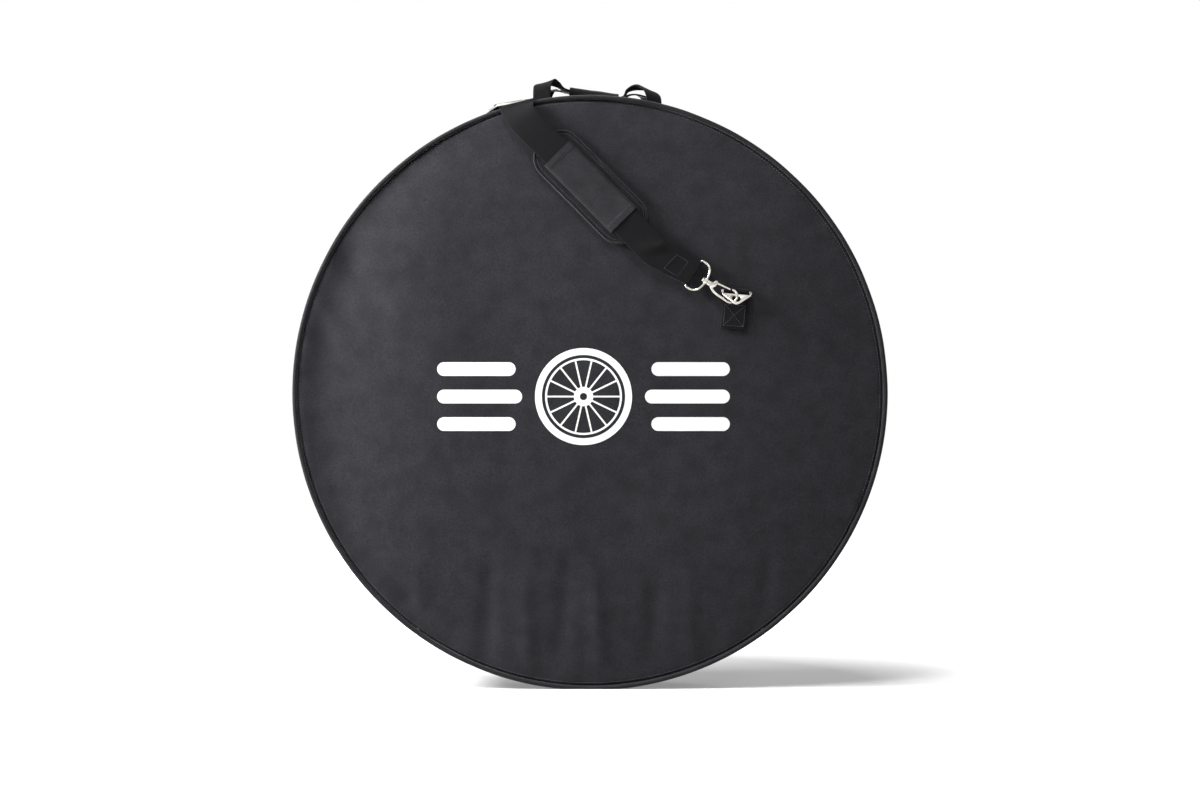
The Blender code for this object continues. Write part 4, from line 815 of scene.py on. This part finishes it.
IN_REAR_BOW, AT_REAR_RIM = (-16.68, -0.62, 3.23), (-20.09, 0, -8.27)
REAR_STRAP = smooth_route((
    ((-134.99, 35.03, 713.29), (-15.37, -9.21, -6.32), (-0.37, -0.03, 0.93)),
    ((-141.3, 47, 711.19), AT_REAR_RIM, (-0.38, 0, 0.92)),
    ((-140.82, 50.04, 710.03), AT_REAR_RIM, (-0.27, 0.71, 0.65)),
    ((-139.67, 51.3, 707.22), AT_REAR_RIM, (0, 1, 0)),
    ((-146.84, 54.36, 651.19), (-19, 0, 0), (-0.03, 1, 0.05)),
    ((-152.96, 56.46, 603.08), (-19, 0, 0), (-0.03, 1, 0.04)),
    ((-158.06, 57.88, 562.99), (-17.1, 0, 0), (-0.03, 1, 0.04)),
    ((-160.02, 59.97, 546.54), IN_REAR_BOW, (-0.01, 0.99, 0.13)),
    ((-160.42, 61.06, 544.65), IN_REAR_BOW, (0.13, 0.62, 0.78)),
    ((-160.61, 63.19, 544.08), IN_REAR_BOW, (0.19, -0.12, 0.97)),
    ((-160.47, 65.13, 545.16), IN_REAR_BOW, (0.15, -0.79, 0.6)),
    ((-160.09, 65.72, 547.26), IN_REAR_BOW, (0.01, -0.99, -0.13)),
    ((-158.12, 59.98, 563.06), (-17.1, 0, 0), (0.03, -1, -0.04)),
    ((-153.02, 58.56, 603.17), (-19, 0, 0), (0.03, -1, -0.04)),
    ((-146.9, 56.46, 651.3), (-19, 0, 0), (0.03, -1, -0.05)),
    ((-139.67, 53.4, 707.22), AT_REAR_RIM, (0, -1, 0)),
    ((-141.39, 51.53, 711.4), AT_REAR_RIM, (0.27, -0.71, -0.65)),
    ((-142.1, 47, 713.13), AT_REAR_RIM, (0.38, 0, -0.92)),
    ((-135.75, 34.96, 715.24), (-15.37, -9.21, -6.32), (0.37, 0.03, -0.93))), 6)
strap = webbing("rear_strap", REAR_STRAP)
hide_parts("strap_webbing_rear")
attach(strap, "bag_body")
machined("tri_glide", 0.5 * MM, nickel, "front_cover")


def box_stitches(name, corners, out, body, cross=True):
    """Sew a box, with a cross in it where the load is high, through corners given in order."""
    loop = [Vector(corner) * MM for corner in corners]
    paths = [loop + [loop[0]]]
    if cross:
        paths += [[loop[0], loop[2]], [loop[1], loop[3]]]
    rows = []
    for number, path in enumerate(paths):
        points = []
        for start, end in zip(path, path[1:]):
            points += [start.lerp(end, step / 12) for step in range(13)]
        points = [point for point, after in zip(points, points[1:]) if (after - point).length > 0.01 * MM]
        points.append(path[-1])
        outs = [Vector(out).normalized()] * len(points)
        rows.append(stitch_row(f"{name}_{number}", points, outs, grey_thread, 2.2 * MM, 3 * MM, 0.34 * MM))
    only(*rows)
    if len(rows) > 1:
        bpy.ops.object.join()
    rows[0].name = name
    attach(rows[0], body)


box_stitches("hook_end_stitches", ((121.6, -68.2, 529.6), (107, -69, 537.6), (91.2, -69.6, 521.2),
                                   (108, -68.9, 511.4)), (0.09, -1, 0), "front_cover", False)


# Strap pad
# A shoulder pad of foam in polyester, bound round its edge, with a stitched sleeve across its
# back. The strap runs through the sleeve, so the pad slides along it.

# The pad's frame: X runs along the strap and Z away from the bag.
PAD_PLACE = Matrix(((-0.703395, -0.710799, 0.000109, 0.0006), (0.032668, -0.03248, -0.998938, -0.056139),
                    (0.710048, -0.702644, 0.046066, 0.622), (0, 0, 0, 1)))
PAD_HALF = (83.5 * MM, 33 * MM)
PAD_CORNER = 27 * MM


def pad_edge(turn, inset=0.0):
    """Return the point of the pad's rounded outline that lies at an angle from its middle."""
    along, across = math.cos(turn), math.sin(turn)
    flat = (PAD_HALF[0] - PAD_CORNER, PAD_HALF[1] - PAD_CORNER)
    radius = PAD_CORNER - inset
    low, high = 0.0, 0.2
    for step in range(30):
        reach = (low + high) / 2
        gap_x = max(abs(along * reach) - flat[0], 0)
        gap_y = max(abs(across * reach) - flat[1], 0)
        low, high = (reach, high) if math.hypot(gap_x, gap_y) < radius else (low, reach)
    return Vector((along * low, across * low, 0))


bpy.ops.object.select_all(action="DESELECT")
bpy.ops.mesh.primitive_uv_sphere_add(segments=96, ring_count=28, radius=1)
pad = bpy.context.object
pad.name = "shoulder_pad"
for vertex in pad.data.vertices:
    flat = math.hypot(vertex.co.x, vertex.co.y)
    edge = pad_edge(math.atan2(vertex.co.y, vertex.co.x), 0.6 * MM)
    share = min(1, flat) ** 0.55
    tall = math.copysign(abs(vertex.co.z) ** 0.75, vertex.co.z)
    spot = edge * share
    press = 0.5 * MM * math.exp(-((abs(spot.y) - 21.5 * MM) / (2.5 * MM)) ** 2)
    press *= abs(spot.x) < 58 * MM
    lump = 0.35 * MM * noise.noise(Vector((spot.x * 60, spot.y * 60, 9)))
    height = 3.75 * MM + (3.35 * MM + lump - press if tall > 0 else 3.4 * MM) * tall
    vertex.co = PAD_PLACE @ Vector((spot.x, spot.y, height))
only(pad)
bpy.ops.object.shade_smooth()
# The pad's polyester is a shade darker than the panel's.
pad_cloth = woven_polyester("pad_polyester", 1.3, "1F1F22", "161618", 0.1)
pad.data.materials.append(pad_cloth)
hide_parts("strap_pad")
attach(pad, "strap_pad")

bpy.ops.object.select_all(action="DESELECT")
bpy.ops.mesh.primitive_torus_add(major_segments=144, minor_segments=12, major_radius=1, minor_radius=0.2)
binding = bpy.context.object
binding.name = "pad_binding"
for vertex in binding.data.vertices:
    flat = math.hypot(vertex.co.x, vertex.co.y)
    edge = pad_edge(math.atan2(vertex.co.y, vertex.co.x))
    off = (flat - 1) / 0.2
    tall = vertex.co.z / 0.2
    spot = edge - edge.normalized() * (1.9 * MM - 1.9 * MM * off)
    vertex.co = PAD_PLACE @ Vector((spot.x, spot.y, 3.7 * MM + 3.05 * MM * tall))
only(binding)
bpy.ops.object.shade_smooth()
binding.data.materials.append(shaded_bias_tape)
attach(binding, "strap_pad")

outline = [pad_edge(math.radians(turn), 5 * MM) for turn in range(0, 361, 3)]
outline = [PAD_PLACE @ Vector((point.x, point.y, 6.75 * MM)) for point in outline]
pad_out = PAD_PLACE.to_3x3() @ Vector((0, 0, 1))
row = stitch_row("pad_stitches", outline, [pad_out] * len(outline), grey_thread,
                 2.2 * MM, 3.1 * MM, 0.34 * MM)
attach(row, "strap_pad")

SLEEVE_LENGTH, SLEEVE_HALF = 117 * MM, 22.4 * MM
sleeve = flat_cloth("pad_sleeve", 64, 28)
for vertex in sleeve.data.vertices:
    along = vertex.co.x * SLEEVE_LENGTH
    across = vertex.co.y * 2
    rise = 1 - max(0, (abs(across) - 0.86) / 0.14) ** 2
    hem = 0.45 * MM if abs(vertex.co.x) > 0.435 else 0
    soft = 0.5 * MM * noise.noise(Vector((along * 45, across * 1.5, 6))) * rise
    bow = 0.5 * MM * (1 - across ** 2)
    height = 7.35 * MM + (3 * MM + hem + bow + soft) * rise
    vertex.co = PAD_PLACE @ Vector((along, across * SLEEVE_HALF, height))
thicken(sleeve, 0.7 * MM, 0)
bpy.ops.object.shade_smooth_by_angle(angle=math.radians(50))
# The sleeve's polyester shows a little paler than the pad in the picture.
sleeve_cloth = woven_polyester("pale_sleeve_polyester", 1.3, "2A2A2D", "202023", 0.1)
sleeve.data.materials.append(sleeve_cloth)
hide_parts("strap_pad_sleeve")
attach(sleeve, "strap_pad")
for number, (start, end) in enumerate((((-58, 21.6), (58, 21.6)), ((-58, -21.6), (58, -21.6)),
                                       ((-50.5, -20), (-50.5, 20)), ((50.5, -20), (50.5, 20)))):
    high = 7.9 if number < 2 else 11.45
    path = []
    for step in range(41):
        x, y = Vector(start).lerp(Vector(end), step / 40)
        path.append(PAD_PLACE @ (Vector((x, y, high - (0 if number < 2 else 0.5 * (y / 22) ** 2))) * MM))
    row = stitch_row(f"sleeve_stitches_{number}", path, [pad_out] * 41, grey_thread,
                     2.2 * MM, 3.1 * MM, 0.34 * MM)
    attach(row, "strap_pad")


# Hooks and rings
# Each end of the strap clips on: a wire bow, a cast lobster claw that turns in it, and a sprung
# gate. The claw holds a stamped ring, which a folded tab of webbing ties to the bag.

def own_axes(middle, along, across):
    """Return the frame with these X and Y axes, its middle given in millimetres."""
    along, across = Vector(along), Vector(across)
    axes = Matrix((along, across, along.cross(across))).transposed().to_4x4()
    return Matrix.Translation(Vector(middle) * MM) @ axes


def bent_wire(name, points, radii, place, closed=False):
    """Bend a cast wire along points in a frame, in millimetres, with its own radius at each."""
    curve = bpy.data.curves.new(name, "CURVE")
    curve.dimensions = "3D"
    curve.bevel_depth = MM
    curve.bevel_resolution = 4
    curve.resolution_u = 8
    curve.use_fill_caps = True
    wire = curve.splines.new("NURBS")
    wire.points.add(len(points) - 1)
    for point, spot, radius in zip(wire.points, points, radii):
        point.co = (*(Vector((spot[0], spot[1], 0)) * MM), 1)
        point.radius = radius
    wire.order_u = 3
    wire.use_cyclic_u = closed
    wire.use_endpoint_u = not closed
    piece = bpy.data.objects.new(name, curve)
    scene.collection.objects.link(piece)
    only(piece)
    bpy.ops.object.convert(target="MESH")
    piece.matrix_world = place
    bpy.ops.object.transform_apply(location=True, rotation=True, scale=True)
    bpy.ops.object.shade_smooth()
    return piece


def lathed(name, profile, place, sides=32):
    """Turn a profile of (along, radius) in millimetres about a frame's X axis."""
    mesh = bpy.data.meshes.new(name)
    steps = [(index, index + 1) for index in range(len(profile) - 1)]
    mesh.from_pydata([(along * MM, radius * MM, 0) for along, radius in profile], steps, [])
    piece = bpy.data.objects.new(name, mesh)
    scene.collection.objects.link(piece)
    only(piece)
    turn = piece.modifiers.new("turned", "SCREW")
    turn.axis = "X"
    turn.steps = turn.render_steps = sides
    turn.use_merge_vertices = True
    turn.merge_threshold = 0.01 * MM
    bpy.ops.object.modifier_apply(modifier=turn.name)
    bpy.ops.object.mode_set(mode="EDIT")
    bpy.ops.mesh.select_all(action="SELECT")
    bpy.ops.mesh.normals_make_consistent(inside=False)
    bpy.ops.object.mode_set(mode="OBJECT")
    piece.matrix_world = place
    bpy.ops.object.transform_apply(location=True, rotation=True, scale=True)
    bpy.ops.object.shade_smooth_by_angle(angle=math.radians(35))
    return piece


def stamped_plate(name, outline, low, high, place):
    """Cut a flat plate along an outline in millimetres, between two heights, and round its edges."""
    mesh = bpy.data.meshes.new(name)
    count = len(outline)
    corners = [Vector((x, y, height)) * MM for height in (low, high) for x, y in outline]
    walls = [(index, (index + 1) % count, count + (index + 1) % count, count + index)
             for index in range(count)]
    mesh.from_pydata(corners, [], walls + [list(range(count))[::-1], list(range(count, 2 * count))])
    piece = bpy.data.objects.new(name, mesh)
    scene.collection.objects.link(piece)
    piece.matrix_world = place
    round_edges(piece, 0.25 * MM, 50, 2)
    bpy.ops.object.shade_smooth_by_angle(angle=math.radians(40))
    return piece


def finish_cast(pieces, node, body):
    """Join the parts of one casting, plate it and hang it on its body in place of its CAD node."""
    only(*pieces)
    if len(pieces) > 1:
        bpy.ops.object.join()
    casting = bpy.context.object
    casting.data.materials.clear()
    casting.data.materials.append(nickel)
    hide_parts(node)
    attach(casting, body)


# Each hook has the frames of its bow, its claw and its gate. Its shapes are in millimetres along them.
HOOKS = (
    ("front", "front_cover",
     own_axes((127.849, -64.62, 515.302), (0.837057, -0.089381, -0.539765),
              (0.544346, 0.036909, 0.838049)),
     own_axes((127.849, -64.62, 515.302), (0.837057, -0.089381, -0.539765),
              (0.511567, -0.221955, 0.830082)),
     own_axes((155.621, -68.455, 503.426), (0.895852, -0.11716, -0.428629),
              (0.399768, -0.20863, 0.892558))),
    ("rear", "bag_body",
     own_axes((-160.052, 62.844, 546.901), (-0.193091, 0.120385, -0.973767),
              (-0.981099, -0.036535, 0.190028)),
     own_axes((-160.052, 62.844, 546.901), (-0.193091, 0.120385, -0.973767),
              (-0.950955, 0.221473, 0.215948)),
     own_axes((-170.79, 67.608, 518.811), (-0.313684, 0.147845, -0.937947),
              (-0.918261, 0.204168, 0.339283))))
for side_name, holder, bow_place, claw_place, gate_place in HOOKS:
    half = [(3.6, 18.9), (9, 18.9), (14.4, 15.3), (17.2, 9.5), (18, 4.7)]
    bow_path = [(0, -17.6), (0, -9), (0, 9), (0, 17.6), (1.2, 18.9)] + half + [(18, 0)]
    bow_path += [(x, -y) for x, y in reversed(half)] + [(1.2, -18.9)]
    bow = bent_wire(f"{side_name}_bow_wire", bow_path, [1.5] * len(bow_path), bow_place, closed=True)
    boss = lathed(f"{side_name}_boss", (
        (15.5, 1.85), (15.5, 3.6), (15.9, 4), (20.1, 4), (20.5, 3.6), (20.5, 1.85), (15.5, 1.85)), bow_place)
    finish_cast([bow, boss], f"{side_name}_hook_bow", holder)

    barrel = lathed(f"{side_name}_barrel", (
        (13.2, 0), (13.2, 2.5), (13.7, 3), (14.9, 3), (15.2, 2.7), (15.2, 1.5), (20.8, 1.5), (20.8, 3.4),
        (21.2, 3.8), (22.3, 3.8), (22.6, 3.45), (23.2, 3.45), (23.5, 3.8), (24.6, 3.8), (25.3, 3.2),
        (26.1, 2.3), (26.1, 0)), claw_place)
    claw_path = [(24, -0.3), (26.5, -1.6), (29, -3.9), (34, -6.2), (39, -6.9), (44, -7), (49, -7)]
    claw_path += [(54 + 8.1 * math.cos(math.radians(turn)), 1 + 8.1 * math.sin(math.radians(turn)))
                  for turn in range(-90, 107, 14)]
    radii = [2.4, 2.3, 2, 1.75, 1.65, 1.6, 1.55] + [1.5] * 11 + [1.45, 1.4, 1.35, 1.2]
    wire = bent_wire(f"{side_name}_claw_wire", claw_path, radii, claw_place)
    cheeks = [(24.3, -2.2), (27, -2.9), (30.2, -2), (31.9, 1)]
    cheeks += [(30 + 2.5 * math.cos(math.radians(turn)), 5.2 + 2.5 * math.sin(math.radians(turn)))
               for turn in range(-20, 181, 20)] + [(26.4, 3.2), (24.3, 2.6)]
    plates = [stamped_plate(f"{side_name}_cheek_{number}", cheeks, low, low + 0.9, claw_place)
              for number, low in enumerate((-2.3, 1.4))]
    finish_cast([wire, barrel, *plates], f"{side_name}_hook_claw", f"{side_name}_hook")

    gate = lathed(f"{side_name}_gate_bar", (
        (-2, 0), (-2, 0.8), (-1.5, 1.2), (4, 1.2), (12, 1.05), (19.2, 0.95), (19.9, 0.6), (20.1, 0)),
        gate_place, 24)
    finish_cast([gate], f"{side_name}_hook_gate", f"{side_name}_gate")
    pin_place = gate_place @ Matrix.Rotation(math.radians(90), 4, "Y")
    pin = lathed(f"{side_name}_rivet", (
        (-2.75, 0), (-2.7, 0.8), (-2.35, 1.1), (-2.3, 0.7), (2.3, 0.7), (2.35, 1.1), (2.7, 0.8), (2.75, 0)),
        pin_place, 20)
    finish_cast([pin], f"{side_name}_gate_pin", f"{side_name}_hook")
    machined(f"{side_name}_ring", 0.45 * MM, nickel, f"{side_name}_ring")

# Sections of each tab: its back, the fold round the ring's bar, and its front. Its width stays the same.
FRONT_TAB = smooth_route([(middle, (15.63, 0.48, -1.38), out) for middle, out in (
    ((177.03, -59.98, 447.22), (0.03, -1, 0.02)),
    ((181.04, -58.81, 493.03), (0.03, -1, 0.02)),
    ((181.24, -59.57, 495.05), (-0.04, -0.74, -0.68)),
    ((181.38, -61.53, 495.98), (-0.09, -0.06, -0.99)),
    ((181.39, -63.59, 495.28), (-0.09, 0.65, -0.76)),
    ((181.25, -64.59, 493.36), (-0.04, 0.99, -0.09)),
    ((181.05, -63.97, 491.29), (0.03, 0.78, 0.62)),
    ((180.65, -61.29, 487.8), (0.02, 0.88, 0.48)),
    ((180.41, -61.11, 485.11), (-0.03, 1, -0.02)),
    ((177.1, -62.08, 447.26), (-0.03, 1, -0.02)))], 4)
REAR_TAB = smooth_route([(middle, (-9.88, -0.05, -12.21), out) for middle, out in (
    ((-145.31, 60.64, 464.11), (-0.03, 1, 0.02)),
    ((-181.04, 58.81, 493.03), (-0.03, 1, 0.02)),
    ((-182.63, 59.54, 494.31), (0.52, 0.75, -0.42)),
    ((-183.38, 61.49, 494.91), (0.78, 0.07, -0.63)),
    ((-182.87, 63.56, 494.49), (0.6, -0.64, -0.48)),
    ((-181.39, 64.59, 493.29), (0.09, -0.99, -0.07)),
    ((-179.76, 64, 491.97), (-0.47, -0.79, 0.39)),
    ((-177, 61.36, 489.75), (-0.36, -0.89, 0.29)),
    ((-174.89, 61.22, 488.05), (0.03, -1, -0.02)),
    ((-145.38, 62.73, 464.16), (0.03, -1, -0.02)))], 4)
for side, side_name, body, route in (
        (-1, "front", "front_cover", FRONT_TAB), (1, "rear", "bag_body", REAR_TAB)):
    tab = webbing(f"{side_name}_ring_tab", route)
    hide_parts(f"{side_name}_anchor_tab")
    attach(tab, body)
    near, far = route[33], route[-1]
    spread = near[1] * 0.8
    lift = Vector((0, side * 0.95 * MM, 0))
    top, foot = (near[0].lerp(far[0], share) + lift for share in (0.04, 0.9))
    corners = [point / MM for point in (top - spread, top + spread, foot + spread, foot - spread)]
    box_stitches(f"{side_name}_tab_stitches", corners, (0, side, 0), body)


# White print
# A plain screen print in white ink across the front: a spoked wheel between two sets of bars.
# The ink lies thin on the polyester, so the cloth's weave shows in it.

def rounded_bar(low, high, height):
    """Draw a printed bar between two X values in millimetres, with half-round ends."""
    bpy.ops.object.select_all(action="DESELECT")
    bpy.ops.mesh.primitive_grid_add(x_subdivisions=64, y_subdivisions=6, size=2,
                                    rotation=(math.pi / 2, 0, 0))
    bar = bpy.context.object
    bpy.ops.object.transform_apply(rotation=True)
    middle, half_length, half = (low + high) / 2, (high - low) / 2, height / 2
    for vertex in bar.data.vertices:
        along = math.sin(vertex.co.x * math.pi / 2) * half_length
        past = max(0, abs(along) - (half_length - half)) / half
        vertex.co.x = (middle + along) * MM
        vertex.co.z *= half * math.sqrt(max(0, 1 - past ** 2)) * MM
    return bar


def printed_ring(outer, inner):
    """Draw a printed ring between two radii in millimetres, about the wheel's middle."""
    bpy.ops.object.select_all(action="DESELECT")
    bpy.ops.mesh.primitive_circle_add(vertices=128, radius=outer * MM, rotation=(math.pi / 2, 0, 0))
    ring = bpy.context.object
    bpy.ops.object.transform_apply(rotation=True)
    bpy.ops.object.mode_set(mode="EDIT")
    bpy.ops.mesh.select_all(action="SELECT")
    for radius, after in ((outer, (outer + inner) / 2), ((outer + inner) / 2, inner)):
        bpy.ops.mesh.extrude_edges_move()
        bpy.ops.transform.resize(value=[after / radius] * 3, center_override=(0, 0, 0))
    bpy.ops.object.mode_set(mode="OBJECT")
    return ring


PRINT_X, PRINT_Z = -8 * MM, 363 * MM
white_ink = woven_polyester("white_screen_ink", 1.3, "F2F2F0", "E6E6E4", 0)
white_ink.node_tree.nodes["Principled BSDF"].inputs["Roughness"].default_value = 0.55
# The wheel's tyre, rim and hub, then its spokes, then the bars, in millimetres about its middle.
marks = [printed_ring(60, 51.5), printed_ring(47.5, 45), printed_ring(12, 4.5)]
SPOKES = 14
for spoke in range(SPOKES):
    bpy.ops.object.select_all(action="DESELECT")
    bpy.ops.mesh.primitive_grid_add(x_subdivisions=14, y_subdivisions=1, size=1,
                                    rotation=(math.pi / 2, 0, 0))
    mark = bpy.context.object
    bpy.ops.object.transform_apply(rotation=True)
    for vertex in mark.data.vertices:
        vertex.co = Vector(((28.5 + 33.5 * vertex.co.x) * MM, 0, vertex.co.z * 2.1 * MM))
    mark.rotation_euler = (0, 2 * math.pi * spoke / SPOKES, 0)
    bpy.ops.object.transform_apply(rotation=True)
    marks.append(mark)
for low, high, height, rise in ((-181, -84, 17, 34), (-181, -76, 17, 0), (-181, -84, 17, -34),
                                (84, 181, 17, 34), (76, 181, 17, 0), (84, 181, 17, -34)):
    bar = rounded_bar(low, high, height)
    for vertex in bar.data.vertices:
        vertex.co.z += rise * MM
    marks.append(bar)
only(*marks)
bpy.ops.object.join()
ink = bpy.context.object
ink.name = "white_print"
for vertex in ink.data.vertices:
    vertex.co.x += PRINT_X
    vertex.co.z += PRINT_Z
    vertex.co.y = -(panel_depth(vertex.co.x, vertex.co.z) + 0.2 * MM)
bpy.ops.object.mode_set(mode="EDIT")
bpy.ops.mesh.select_all(action="SELECT")
bpy.ops.mesh.remove_doubles(threshold=0.01 * MM)
bpy.ops.mesh.normals_make_consistent(inside=False)
bpy.ops.object.mode_set(mode="OBJECT")
bpy.ops.object.shade_smooth()
ink.data.materials.append(white_ink)
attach(ink, "front_cover")
